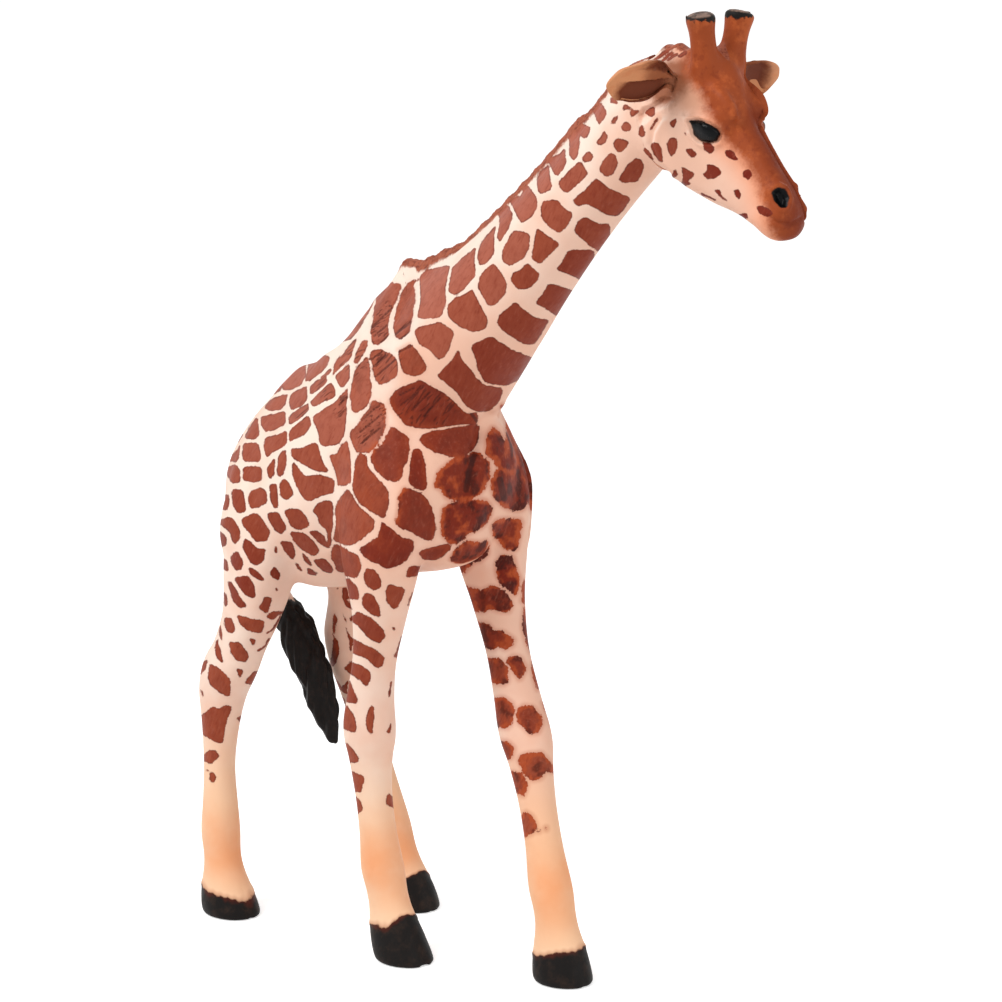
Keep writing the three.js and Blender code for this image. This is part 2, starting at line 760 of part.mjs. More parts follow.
const trunk = trunkSkin();
const wholeNeck = neckSkin().add(maneSkin());
const figure = new THREE.Group();
figure.add(
  meshOf("torso", torso(trunk, wholeNeck), "coat"),
  meshOf("neck", neck(trunk, wholeNeck), "coat"),
  meshOf("head", head(wholeNeck), "coat"),
  meshOf("right_horn", horn(-1), "tan"),
  meshOf("left_horn", horn(1), "tan"),
  meshOf("right_ear", ear(-1), "tan"),
  meshOf("left_ear", ear(1), "tan"),
  meshOf("tail", tail(), "black"),
);
for (const name of Object.keys(legShares)) figure.add(meshOf(name, leg(name), "coat"));

// The origin is on the ground, under the middle of the figure's box.
const middle = new THREE.Box3().setFromObject(figure, true).getCenter(new THREE.Vector3());
figure.position.set(-middle.x, -middle.y, 0);

export default figure;
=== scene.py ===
import json
import math

import bpy
import numpy as np
from bpy.props import FloatProperty, FloatVectorProperty, PointerProperty
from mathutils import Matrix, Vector, geometry, noise
from mathutils.bvhtree import BVHTree

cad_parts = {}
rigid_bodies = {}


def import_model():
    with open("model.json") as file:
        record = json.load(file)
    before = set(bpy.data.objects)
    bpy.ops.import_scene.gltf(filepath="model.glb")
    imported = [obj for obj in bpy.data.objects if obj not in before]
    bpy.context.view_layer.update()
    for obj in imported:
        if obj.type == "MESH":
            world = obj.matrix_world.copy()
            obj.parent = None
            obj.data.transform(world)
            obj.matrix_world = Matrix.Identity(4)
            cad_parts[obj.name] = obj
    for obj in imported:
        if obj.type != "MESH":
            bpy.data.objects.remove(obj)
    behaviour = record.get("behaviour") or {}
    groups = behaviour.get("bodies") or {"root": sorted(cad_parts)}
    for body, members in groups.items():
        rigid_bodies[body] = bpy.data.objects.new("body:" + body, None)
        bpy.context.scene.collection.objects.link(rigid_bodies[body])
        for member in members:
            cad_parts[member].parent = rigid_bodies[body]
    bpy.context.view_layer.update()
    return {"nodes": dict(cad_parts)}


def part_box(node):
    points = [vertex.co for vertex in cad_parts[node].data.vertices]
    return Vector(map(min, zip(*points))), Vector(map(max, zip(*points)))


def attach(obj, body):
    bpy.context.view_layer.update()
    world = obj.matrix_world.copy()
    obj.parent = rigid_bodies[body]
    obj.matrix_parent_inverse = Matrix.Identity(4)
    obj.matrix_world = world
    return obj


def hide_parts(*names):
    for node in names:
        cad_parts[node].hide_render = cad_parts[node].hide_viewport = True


bl_info = {
    "name": "Toy giraffe figure",
    "version": (1, 0, 0),
    "blender": (4, 5, 0),
    "location": "3D View > Sidebar > Giraffe",
    "description": "Skins, carves and paints a moulded plastic giraffe over its solid pieces",
    "category": "Object",
}

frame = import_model()

MM = 0.001
TINY = 1e-9

# The view that the paint outlines below are drawn in: millimetres, degrees and picture points
VIEW_AIM = (-0.56, -2.997, 86.7)
VIEW_TURN = -43.0
VIEW_RISE = 12.0
VIEW_DISTANCE = 640.0
VIEW_LENS = 132.0
VIEW_SENSOR = 36.0
PICTURE_SIDE = 1002
HALF_SIDE = PICTURE_SIDE / 2
FOCAL = PICTURE_SIDE * VIEW_LENS / VIEW_SENSOR

LEGS = ("front_right_leg", "front_left_leg", "hind_right_leg", "hind_left_leg")
BODY_NODES = ("torso", "neck", "head", *LEGS)
HEAD_NODES = ("head", "neck", "right_horn", "left_horn", "right_ear", "left_ear")

# Outlines of the painted patches, in picture points
NECK_PATCHES = (
    ((606, 102), (607, 113), (603, 120), (599, 125), (597, 120), (600, 112), (601, 104)),
    ((611, 97), (615, 99), (618, 104), (611, 103)),
    ((624, 104), (629, 105), (626, 109), (623, 111)),
    ((632, 110), (640, 111), (635, 115), (631, 117), (630, 112)),
    ((654, 107), (655, 114), (651, 117), (645, 113), (649, 109)),
    ((617, 115), (619, 117), (614, 124), (611, 124), (613, 119)),
    ((642, 125), (645, 132), (645, 136), (641, 137), (638, 134), (640, 128)),
    ((650, 131), (654, 125), (659, 119), (657, 118), (652, 125)),
    ((645, 148), (649, 151), (654, 160), (649, 157), (643, 150)),
    ((653, 143), (658, 143), (662, 151), (663, 162), (659, 161), (654, 154), (651, 147)),
    ((625, 122), (630, 124), (632, 128), (629, 131), (624, 131), (621, 127)),
    ((617, 138), (629, 142), (625, 149), (618, 153), (613, 144)),
    ((604, 130), (608, 136), (605, 143), (599, 145), (595, 142), (601, 138)),
    ((588, 151), (594, 156), (590, 162), (584, 162), (582, 158)),
    ((580, 161), (588, 173), (579, 183), (567, 193), (562, 190), (558, 183), (570, 170)),
    ((611, 153), (616, 156), (618, 163), (613, 174), (606, 177), (599, 170), (603, 161)),
    ((636, 158), (641, 160), (644, 167), (641, 176), (636, 182), (624, 183), (619, 179), (627, 166)),
    ((588, 126), (591, 128), (588, 135), (584, 139), (583, 134)),
    ((580, 131), (579, 148), (577, 157), (573, 160), (569, 154), (570, 145), (574, 132)),
    ((565, 148), (566, 162), (563, 170), (557, 176), (553, 172), (555, 163), (559, 155)),
    ((549, 165), (550, 180), (552, 186), (550, 190), (541, 194), (538, 190), (537, 180), (541, 172)),
    ((533, 187), (537, 198), (537, 208), (531, 217), (522, 223), (518, 217), (517, 205), (522, 195)),
    ((596, 178), (608, 188), (631, 198), (624, 209), (617, 216), (608, 215), (595, 208), (586, 204),
     (577, 206), (572, 201), (583, 192), (590, 185)),
    ((585, 217), (598, 224), (610, 224), (605, 237), (598, 246), (590, 246), (583, 240), (574, 231),
     (578, 222)),
    ((543, 201), (558, 200), (563, 208), (573, 214), (567, 227), (559, 233), (550, 228), (542, 218),
     (541, 209)),
    ((568, 250), (594, 250), (588, 264), (579, 276), (573, 276), (556, 269), (562, 263)),
    ((549, 283), (571, 285), (566, 297), (555, 311), (545, 308), (536, 303), (543, 293)),
    ((537, 228), (546, 235), (560, 244), (549, 255), (540, 264), (532, 259), (533, 250), (535, 238)),
    ((514, 230), (530, 234), (529, 247), (524, 258), (510, 266), (503, 261), (502, 251), (508, 240)),
    ((514, 206), (513, 216), (507, 231), (500, 242), (497, 237), (500, 222), (505, 214)),
    ((496, 226), (494, 236), (494, 253), (485, 264), (480, 265), (477, 257), (481, 243), (489, 233)),
    ((494, 264), (500, 271), (507, 283), (505, 294), (495, 305), (489, 306), (482, 295), (478, 286),
     (481, 275), (487, 268)),
    ((527, 263), (539, 273), (538, 281), (527, 289), (517, 289), (511, 280), (513, 273), (521, 270)),
    ((515, 302), (524, 310), (535, 318), (549, 320), (542, 332), (534, 345), (522, 343), (504, 331),
     (497, 323), (499, 316), (508, 308)),
    ((476, 247), (460, 260), (452, 269), (448, 291), (454, 295), (461, 292), (470, 282), (476, 275),
     (474, 262)),
    ((472, 289), (476, 297), (482, 309), (488, 320), (485, 329), (474, 332), (462, 328), (449, 318),
     (447, 307), (455, 298), (465, 295)),
    ((450, 265), (434, 275), (426, 281), (421, 298), (418, 317), (423, 319), (441, 317), (446, 302),
     (445, 288), (448, 276)),
    ((440, 322), (451, 329), (454, 333), (449, 349), (444, 358), (438, 359), (430, 350), (420, 345),
     (414, 331), (420, 327), (430, 325)),
    ((491, 336), (504, 345), (512, 350), (530, 354), (518, 372), (505, 386), (486, 383), (479, 372),
     (475, 357), (471, 346)),
    ((458, 349), (462, 360), (470, 369), (477, 379), (484, 385), (503, 388), (500, 400), (490, 411),
     (477, 412), (466, 406), (456, 391), (437, 376), (443, 369), (452, 361)),
)
SHOULDER_PATCHES = (
    ((424, 277), (409, 283), (403, 291), (397, 311), (394, 326), (396, 336), (400, 339), (409, 332),
     (412, 312), (415, 297), (419, 288)),
    ((401, 285), (393, 288), (383, 300), (375, 314), (371, 332), (373, 343), (379, 344), (388, 336),
     (387, 325), (390, 312), (396, 298)),
    ((411, 345), (418, 354), (426, 366), (424, 372), (414, 376), (404, 372), (401, 363), (399, 351)),
    ((380, 350), (392, 355), (397, 362), (397, 374), (388, 382), (380, 384), (375, 378), (374, 367),
     (370, 357), (372, 352)),
    ((408, 386), (396, 391), (390, 399), (392, 407), (402, 419), (405, 424), (416, 427), (438, 428),
     (459, 424), (478, 424), (476, 412), (466, 415), (450, 399), (438, 391), (428, 385), (420, 381)),
    ((420, 440), (424, 435), (436, 431), (460, 427), (478, 424), (478, 440), (473, 449), (462, 458),
     (450, 456), (436, 452), (425, 446)),
    ((392, 427), (400, 432), (408, 438), (409, 450), (407, 460), (402, 466), (402, 477), (395, 482),
     (386, 479), (376, 469), (371, 459), (374, 453), (382, 447), (388, 436)),
    ((372, 400), (384, 406), (385, 425), (378, 442), (370, 451), (358, 453), (352, 442), (350, 434),
     (356, 427), (365, 414), (371, 408)),
    ((367, 357), (358, 366), (354, 376), (351, 393), (352, 409), (356, 412), (363, 408), (370, 401),
     (370, 385), (369, 366)),
    ((367, 340), (367, 346), (361, 358), (357, 363), (354, 362), (357, 353), (362, 343)),
    ((356, 338), (346, 352), (336, 362), (332, 375), (340, 368), (349, 359), (353, 347)),
    ((413, 450), (420, 450), (424, 462), (426, 478), (425, 490), (416, 489), (409, 481), (411, 466)),
    ((404, 488), (415, 491), (424, 497), (431, 508), (435, 525), (433, 540), (424, 539), (411, 530),
     (402, 528), (396, 522), (399, 512), (400, 496)),
    ((359, 453), (366, 456), (367, 468), (378, 480), (388, 491), (388, 504), (384, 518), (372, 511),
     (359, 502), (353, 489), (354, 470)),
    ((347, 441), (349, 455), (351, 470), (351, 482), (344, 485), (338, 484), (336, 470), (330, 456),
     (338, 454), (342, 445)),
    ((348, 490), (352, 495), (357, 506), (374, 520), (373, 528), (362, 538), (350, 545), (341, 540),
     (336, 527), (336, 508), (340, 499)),
    ((382, 523), (391, 530), (400, 538), (413, 541), (412, 550), (404, 562), (388, 568), (376, 563),
     (364, 556), (360, 549), (370, 543), (378, 538), (381, 531)),
    ((336, 543), (347, 551), (358, 556), (361, 567), (356, 578), (345, 572), (336, 565), (331, 555)),
    ((419, 552), (432, 548), (448, 544), (451, 548), (443, 555), (430, 562), (423, 558)),
    ((411, 567), (418, 564), (424, 566), (416, 570), (407, 577), (408, 571)),
)
CHEST_PATCHES = (
    ((475, 452), (482, 457), (488, 460), (490, 476), (484, 488), (474, 498), (458, 500), (447, 498),
     (441, 489), (435, 486), (439, 472), (447, 465), (455, 457), (465, 456)),
    ((455, 502), (470, 500), (485, 500), (491, 506), (490, 516), (482, 527), (467, 534), (458, 543),
     (449, 543), (442, 534), (442, 518), (443, 509)),
    ((451, 557), (458, 548), (467, 541), (480, 543), (487, 541), (488, 553), (481, 560), (472, 563),
     (460, 566), (451, 563)),
    ((487, 436), (493, 427), (503, 438), (511, 452), (520, 466), (524, 476), (510, 472), (499, 469),
     (495, 460), (486, 453)),
    ((492, 479), (499, 469), (512, 471), (523, 480), (526, 495), (523, 509), (516, 511), (504, 507),
     (495, 498), (492, 488)),
    ((492, 526), (497, 520), (510, 519), (522, 520), (519, 537), (516, 550), (506, 549), (498, 540),
     (493, 533)),
    ((496, 563), (503, 556), (513, 556), (516, 570), (520, 580), (516, 595), (508, 589), (500, 582),
     (497, 573)),
    ((500, 404), (506, 414), (513, 436), (521, 455), (529, 476), (531, 500), (528, 516), (523, 496),
     (520, 478), (514, 462), (506, 444), (500, 424)),
)
FLANK_PATCHES = (
    ((262, 403), (264, 399), (259, 408), (254, 416), (255, 410)),
    ((284, 384), (281, 389), (274, 394), (270, 396), (275, 389)),
    ((372, 303), (366, 316), (360, 327), (352, 338), (344, 347), (338, 353), (342, 344), (352, 330),
     (361, 316), (369, 302)),
    ((243, 433), (239, 441), (236, 447), (237, 441)),
    ((349, 365), (349, 378), (342, 388), (336, 378), (337, 374), (344, 368)),
    ((348, 388), (335, 403), (322, 411), (312, 418), (318, 429), (321, 446), (338, 444), (344, 434),
     (346, 415), (346, 398)),
    ((305, 381), (313, 369), (319, 362), (330, 357), (326, 367), (318, 374), (310, 380)),
    ((320, 378), (331, 369), (332, 371), (322, 379)),
    ((326, 376), (327, 382), (319, 389), (311, 394), (310, 388), (317, 381)),
    ((330, 383), (335, 390), (334, 397), (324, 401), (314, 406), (310, 403), (318, 394)),
    ((283, 390), (287, 381), (298, 373), (309, 369), (306, 376), (300, 385), (292, 389)),
    ((307, 386), (306, 400), (303, 405), (292, 410), (289, 401), (293, 393)),
    ((265, 407), (271, 400), (287, 394), (285, 404), (280, 410), (269, 410)),
    ((262, 417), (272, 415), (285, 411), (285, 424), (273, 430), (265, 431), (261, 423)),
    ((257, 417), (259, 434), (255, 439), (245, 438), (250, 427)),
    ((308, 403), (308, 410), (298, 420), (290, 424), (289, 419), (293, 413)),
    ((308, 416), (311, 424), (305, 434), (296, 438), (290, 441), (289, 433), (297, 424)),
    ((287, 431), (286, 445), (273, 451), (267, 457), (264, 447), (266, 438), (276, 436)),
    ((243, 444), (258, 443), (261, 461), (243, 461)),
    ((240, 445), (238, 461), (234, 463), (238, 450)),
    ((236, 465), (240, 471), (239, 482), (232, 483), (233, 470)),
    ((244, 467), (261, 467), (262, 480), (253, 482), (243, 480)),
    ((275, 458), (274, 473), (270, 479), (267, 469)),
    ((285, 449), (286, 462), (283, 474), (279, 476), (277, 469), (279, 456)),
    ((292, 449), (301, 449), (314, 443), (318, 446), (321, 460), (328, 472), (315, 470), (300, 462),
     (292, 456)),
    ((293, 463), (297, 467), (305, 477), (320, 475), (334, 480), (333, 493), (322, 495), (311, 500),
     (305, 500), (299, 490), (293, 477)),
    ((284, 479), (289, 483), (293, 494), (287, 500), (281, 496), (280, 485)),
    ((270, 485), (276, 484), (277, 495), (278, 506), (274, 509), (271, 499)),
    ((260, 488), (266, 492), (267, 502), (258, 507), (251, 508), (248, 499), (252, 491)),
    ((232, 490), (242, 490), (244, 500), (246, 511), (238, 513), (233, 504)),
    ((228, 494), (229, 503), (226, 511), (225, 504)),
    ((227, 518), (232, 518), (239, 529), (240, 538), (234, 544), (230, 531), (225, 521)),
    ((222, 527), (226, 537), (226, 545), (223, 547)),
    ((256, 513), (263, 521), (270, 533), (266, 541), (256, 541), (250, 533), (242, 524), (242, 519)),
    ((245, 539), (251, 543), (257, 549), (265, 549), (263, 561), (256, 565), (250, 561), (243, 547)),
    ((237, 551), (243, 563), (241, 569), (236, 570), (231, 562), (231, 557)),
    ((223, 554), (226, 560), (228, 571), (225, 570)),
    ((268, 514), (277, 512), (282, 520), (286, 528), (281, 534), (274, 528), (269, 519)),
    ((285, 511), (291, 509), (300, 510), (307, 519), (309, 526), (299, 530), (291, 526)),
    ((325, 501), (332, 502), (333, 520), (330, 547), (327, 548), (328, 531), (321, 525), (318, 516),
     (313, 511), (318, 504)),
    ((309, 532), (316, 531), (325, 537), (328, 549), (318, 541)),
    ((290, 532), (303, 533), (314, 542), (319, 551), (314, 556), (304, 551), (295, 542)),
    ((280, 542), (291, 542), (295, 553), (293, 560), (286, 552)),
    ((302, 552), (307, 558), (312, 566), (305, 561)),
    ((295, 563), (299, 566), (302, 571), (298, 568)),
    ((308, 568), (316, 573), (328, 578), (319, 580), (308, 574)),
    ((314, 560), (324, 559), (332, 567), (339, 583), (330, 576), (318, 566)),
    ((249, 568), (257, 571), (265, 581), (258, 579), (251, 574)),
    ((270, 573), (274, 567), (280, 575), (278, 580), (273, 577)),
    ((276, 546), (277, 550), (276, 554), (275, 551)),
    ((234, 578), (248, 576), (253, 584), (255, 597), (247, 596), (239, 586)),
    ((228, 581), (232, 584), (238, 595), (246, 606), (240, 608), (233, 600)),
    ((224, 591), (228, 604), (225, 606)),
)
HIND_LEG_PATCHES = (
    ((265, 597), (272, 598), (269, 607), (267, 614), (259, 608), (263, 602)),
    ((281, 607), (279, 614), (273, 620), (267, 617), (271, 612)),
    ((236, 615), (250, 619), (265, 621), (261, 633), (249, 631), (241, 625)),
    ((225, 618), (231, 618), (235, 630), (232, 633), (228, 632), (225, 625)),
    ((221, 612), (219, 624), (215, 631), (214, 627), (218, 620)),
    ((220, 625), (222, 634), (222, 642), (220, 636)),
    ((217, 639), (220, 650), (223, 663), (218, 659), (215, 652)),
    ((229, 642), (240, 643), (249, 656), (245, 662), (236, 660), (231, 652)),
    ((249, 638), (256, 640), (253, 646)),
    ((208, 659), (205, 670), (202, 679), (203, 669)),
    ((210, 664), (221, 670), (230, 680), (230, 695), (226, 696), (211, 686), (208, 675)),
    ((237, 669), (243, 670), (240, 679), (238, 673)),
    ((259, 666), (257, 673), (251, 680), (245, 683), (248, 678), (254, 672)),
    ((213, 706), (219, 710), (225, 705), (232, 707), (226, 721), (224, 735), (222, 743), (215, 741),
     (206, 730), (205, 718)),
    ((243, 710), (239, 717), (238, 722), (236, 718)),
    ((210, 750), (215, 751), (219, 756), (211, 764), (207, 757)),
    ((210, 773), (214, 773), (216, 778), (213, 783), (210, 780)),
)
FORE_LEG_PATCHES = (
    ((366, 568), (375, 570), (381, 579), (381, 588), (374, 591), (366, 585), (363, 577)),
    ((343, 579), (350, 578), (358, 588), (360, 600), (350, 597), (343, 587)),
    ((389, 584), (406, 588), (402, 600), (397, 608), (393, 609), (387, 602), (385, 592)),
    ((366, 592), (373, 595), (379, 605), (381, 618), (370, 614), (362, 607), (362, 597)),
    ((341, 594), (349, 602), (353, 611), (345, 606)),
    ((342, 612), (346, 618), (347, 624), (344, 619)),
    ((359, 611), (373, 619), (384, 630), (386, 636), (380, 644), (368, 638), (360, 628), (356, 617)),
    ((345, 626), (350, 635), (354, 645), (348, 638)),
    ((357, 634), (364, 644), (375, 649), (385, 657), (384, 664), (377, 669), (364, 657), (357, 650)),
    ((354, 659), (362, 665), (371, 673), (371, 680), (367, 687), (358, 679), (351, 669), (351, 661)),
    ((399, 646), (395, 657), (391, 654), (396, 651)),
    ((349, 679), (354, 690), (358, 701), (355, 704), (346, 700), (348, 690)),
    ((345, 704), (353, 713), (357, 726), (355, 733), (343, 725), (341, 715)),
    ((372, 705), (375, 708), (373, 725), (373, 734), (369, 734), (365, 722), (368, 711)),
    ((391, 722), (391, 728), (390, 734), (386, 732), (389, 727)),
    ((343, 735), (350, 745), (359, 758), (358, 763), (351, 760), (345, 748)),
    ((349, 766), (357, 773), (365, 777), (362, 787), (361, 793), (353, 788), (350, 778)),
    ((353, 796), (361, 802), (363, 810), (358, 820), (354, 807)),
    ((388, 792), (390, 802), (390, 811), (385, 804)),
)
FAR_FORE_LEG_PATCHES = (
    ((461, 583), (467, 583), (476, 589), (482, 590), (490, 586), (500, 588), (509, 595), (512, 605),
     (510, 612), (500, 612), (489, 608), (484, 612), (475, 609), (468, 598)),
    ((478, 620), (487, 623), (495, 631), (503, 631), (515, 639), (513, 646), (505, 650), (498, 646),
     (494, 650), (487, 646), (482, 634)),
    ((490, 657), (500, 659), (509, 668), (508, 677), (508, 682), (504, 685), (495, 681), (491, 667)),
    ((508, 659), (513, 655), (521, 657), (527, 668), (520, 681), (513, 671), (507, 662)),
    ((526, 607), (529, 620), (532, 640), (530, 647), (526, 642), (522, 627), (523, 615)),
    ((534, 658), (536, 669), (539, 688), (537, 690), (533, 675), (532, 668)),
    ((524, 579), (526, 590), (526, 601), (521, 603), (522, 590)),
    ((498, 699), (503, 697), (512, 702), (515, 710), (512, 724), (507, 729), (499, 726), (497, 712)),
    ((518, 709), (524, 705), (534, 707), (541, 716), (543, 722), (539, 733), (530, 734), (524, 728),
     (518, 723), (516, 715)),
    ((499, 739), (508, 741), (515, 748), (512, 758), (509, 758), (500, 748)),
    ((520, 756), (529, 753), (541, 752), (547, 758), (552, 775), (546, 771), (541, 779), (532, 781),
     (525, 775), (518, 761)),
    ((513, 769), (521, 773), (528, 783), (526, 792), (523, 797), (519, 787)),
    ((525, 811), (533, 816), (537, 826), (533, 834), (529, 837), (526, 824)),
    ((542, 701), (550, 721), (546, 713)),
)
FAR_HIND_LEG_PATCHES = (
    ((334, 612), (337, 620), (335, 630), (333, 640), (333, 625)),
    ((334, 635), (338, 642), (339, 650), (336, 662), (332, 667), (331, 660), (333, 650)),
    ((334, 679), (342, 687), (345, 698), (339, 692)),
)
FACE_PATCHES = (
    ((702, 142), (710, 143), (715, 149), (711, 154), (704, 150)),
    ((725, 150), (733, 151), (739, 160), (733, 160), (726, 156)),
    ((707, 164), (718, 167), (722, 173), (716, 178), (707, 180), (703, 174), (707, 170)),
    ((743, 171), (749, 169), (752, 174), (749, 180), (743, 177)),
    ((734, 190), (739, 189), (741, 195), (739, 200), (735, 196)),
    ((714, 190), (720, 190), (722, 196), (728, 201), (723, 200)),
    ((741, 210), (747, 213), (749, 218), (744, 215)),
    ((756, 207), (760, 205), (770, 209), (773, 214), (767, 217), (759, 214)),
    ((676, 118), (677, 122), (673, 128), (669, 123), (673, 120)),
    ((670, 138), (676, 138), (678, 145), (676, 152), (671, 157), (668, 151), (667, 143)),
    ((684, 131), (686, 134), (686, 136), (684, 133)),
    ((685, 150), (691, 148), (697, 154), (693, 158), (688, 155)),
    ((681, 166), (696, 174), (687, 181), (683, 175)),
    ((675, 169), (678, 175), (676, 174)),
    ((687, 180), (691, 184), (688, 182)),
)

# Forms of the body: how far each stands out, how wide it is and its line in the picture
BODY_FORMS = (
    (0.5, 4.0, ((395, 345), (412, 420), (408, 500))),
    (0.55, 4.5, ((402, 505), (372, 555))),
    (0.4, 4.0, ((352, 450), (345, 520))),
    (-0.5, 2.4, ((346, 385), (334, 470), (323, 545))),
    (0.65, 5.5, ((262, 470), (262, 530), (240, 575))),
    (-0.45, 3.0, ((293, 470), (301, 530), (291, 570))),
    (0.45, 2.4, ((270, 425), (280, 433))),
    (-0.9, 1.2, ((475, 452), (470, 472), (466, 492), (468, 504))),
    (-1.0, 0.9, ((490, 416), (481, 431), (477, 447))),
    (-0.5, 1.2, ((493, 470), (489, 500), (491, 530), (496, 566))),
    (-0.35, 1.1, ((400, 566), (430, 552), (462, 540))),
    (-0.3, 2.0, ((524, 345), (490, 400), (462, 440))),
    (0.3, 1.2, ((502, 404), (516, 440), (526, 476), (526, 520))),
    (-0.8, 4.5, ((264, 398), (240, 436), (228, 484))),
    (0.9, 3.0, ((306, 366), (324, 358))),
    (-1.1, 3.5, ((222, 560), (221, 600), (213, 638))),
)

# Folds of skin behind the withers: their height, their width and their lines
FOLD_DEPTH = -0.26
FOLD_WIDTH = 0.36
FOLDS = (
    ((372, 327), (392, 308)), ((374, 336), (387, 325)), ((380, 343), (388, 336)), ((395, 335), (411, 321)),
    ((400, 339), (409, 333)), ((370, 360), (382, 352)), ((374, 366), (386, 355)), ((375, 377), (396, 359)),
    ((399, 352), (411, 346)), ((338, 416), (347, 408)), ((339, 405), (347, 397)), ((338, 396), (346, 388)),
    ((362, 420), (380, 404)), ((360, 432), (382, 414)), ((362, 443), (380, 428)), ((400, 395), (414, 388)),
    ((404, 403), (424, 386)), ((412, 410), (430, 392)), ((424, 416), (440, 398)),
)

# Forms of the head: how far each stands out, how wide it is and its line in the picture
HEAD_FORMS = (
    (0.45, 0.9, ((688, 117), (700, 112), (714, 116), (724, 127))),
    (0.3, 0.5, ((691, 134), (700, 145), (711, 148), (721, 144))),
    (-0.45, 0.45, ((659, 120), (652, 132), (650, 145), (656, 160), (669, 175))),
    (0.3, 0.6, ((665, 122), (658, 133), (656, 145), (662, 160), (675, 173))),
    (0.3, 1.2, ((690, 183), (715, 200), (745, 222))),
    (-0.35, 1.6, ((738, 170), (756, 204))),
    (0.25, 1.2, ((742, 128), (765, 165), (778, 182))),
    (0.3, 2.0, ((716, 68), (722, 90))),
    (-0.4, 0.35, ((803, 219), (791, 224), (778, 223), (767, 216))),
    (-0.5, 2.2, ((769, 130), (782, 158), (799, 186), (806, 210))),
    (-0.8, 2.0, ((758, 92), (768, 104), (768, 114))),
)

# Outlines of the head's painted and carved parts, named after the marks that they make
HEAD_OUTLINES = {
    "face": (
        (684, 30), (684, 50), (684, 62), (684, 72), (692, 84), (702, 96), (709, 114), (723, 140), (742, 158),
        (756, 181), (761, 203), (767, 224), (782, 250), (840, 260), (840, 150), (800, 60), (780, -20),
        (676, -20), (676, 28),
    ),
    # The lips' dark front, partly their paint and partly painted shade reaching up the front of the nose
    "muzzle": (
        (744, 104), (753, 134), (764, 160), (782, 184), (790, 200), (789, 214), (781, 222), (790, 229),
        (786, 250), (830, 250), (830, 112),
    ),
    "temple": ((662, 90), (676, 78), (692, 74), (706, 94), (710, 112), (696, 118), (680, 112), (668, 106)),
    # The ears' roots: brown that is partly their paint and partly painted shade beneath the ears
    "root": (
        (645, 86), (648, 72), (659, 62), (672, 58), (686, 59), (694, 66), (692, 80), (685, 91), (676, 100),
        (666, 105), (654, 105),
    ),
    "eye": (
        (689, 121), (700, 120), (710, 124), (719, 130), (721, 135), (717, 141), (710, 143), (700, 141),
        (694, 135), (691, 127),
    ),
    "nostril": ((771, 192), (778, 187), (786, 189), (790, 197), (787, 208), (780, 208), (774, 201)),
}
# The hollows of the near and of the far ear, painted dark: partly the ears' own colour, partly painted shade
EAR_HOLLOWS = (
    ((616, 92), (624, 83), (636, 75), (648, 68), (658, 61), (674, 56), (690, 60), (690, 84), (678, 96),
     (668, 106), (655, 112), (648, 122), (636, 128), (624, 122), (617, 108)),
    ((742, 62), (755, 58), (766, 61), (771, 68), (768, 80), (760, 96), (750, 94), (742, 78)),
)

# Thin strokes and dots of the patches' paint: half their width and their line
STROKES = (
    (0.3, ((652, 62), (660, 56), (668, 50), (677, 45), (684, 47), (685, 53), (680, 56))),
    (0.24, ((662, 61), (672, 53))), (0.24, ((668, 60), (677, 54))),
    (0.2, ((280, 617), (276, 624), (272, 630), (267, 633))), (0.2, ((269, 639), (265, 646), (258, 651))),
    (0.16, ((702, 194), (715, 200))), (0.16, ((412, 593), (408, 605))), (0.16, ((391, 682), (389, 697))),
    (0.16, ((203, 696), (201, 690))), (0.16, ((402, 637), (395, 657))), (0.26, ((276, 589), (277, 590))),
    (0.24, ((393, 628), (394, 629))), (0.24, ((538, 831), (539, 831))), (0.24, ((546, 828), (546, 829))),
    (0.22, ((207, 770), (207, 771))), (0.22, ((276, 392), (284, 384))),
)
# Lines along which the paint is rusty, and how far beside them
RUSTY_WIDTH = 0.7
RUSTY_RIMS = (
    ((387, 404), (387, 425), (379, 444), (371, 452)), ((404, 488), (398, 500), (396, 520)),
    ((478, 457), (489, 462), (490, 474)), ((440, 466), (435, 486)), ((443, 505), (442, 535)),
)
# Painted shade in the folds and in the chest's furrow and crevice: half their width and their line
FOLD_SHADE_LINES = (
    *((0.16, fold) for fold in FOLDS),
    (0.5, ((490, 414), (482, 430), (478, 446))), (0.5, ((474, 456), (469, 472), (466, 490))),
    (0.3, ((479, 424), (470, 412))), (0.6, ((500, 480), (504, 498))),
)
# Lines along which fine creases run across the hide, darkened with dashes of painted shade, and how far
# beside them
CREASE_REACH = 1.6
CREASE_SHADE_LINES = (
    ((368, 330), (388, 308)), ((378, 342), (396, 328)), ((396, 336), (412, 322)), ((372, 364), (390, 352)),
    ((378, 376), (396, 360)), ((340, 412), (346, 392)), ((352, 375), (364, 350)), ((340, 360), (362, 325)),
    ((312, 392), (328, 378)), ((316, 404), (330, 390)), ((300, 418), (306, 408)), ((360, 440), (380, 412)),
    ((398, 412), (420, 392)), ((416, 420), (436, 396)), ((436, 424), (452, 404)),
)
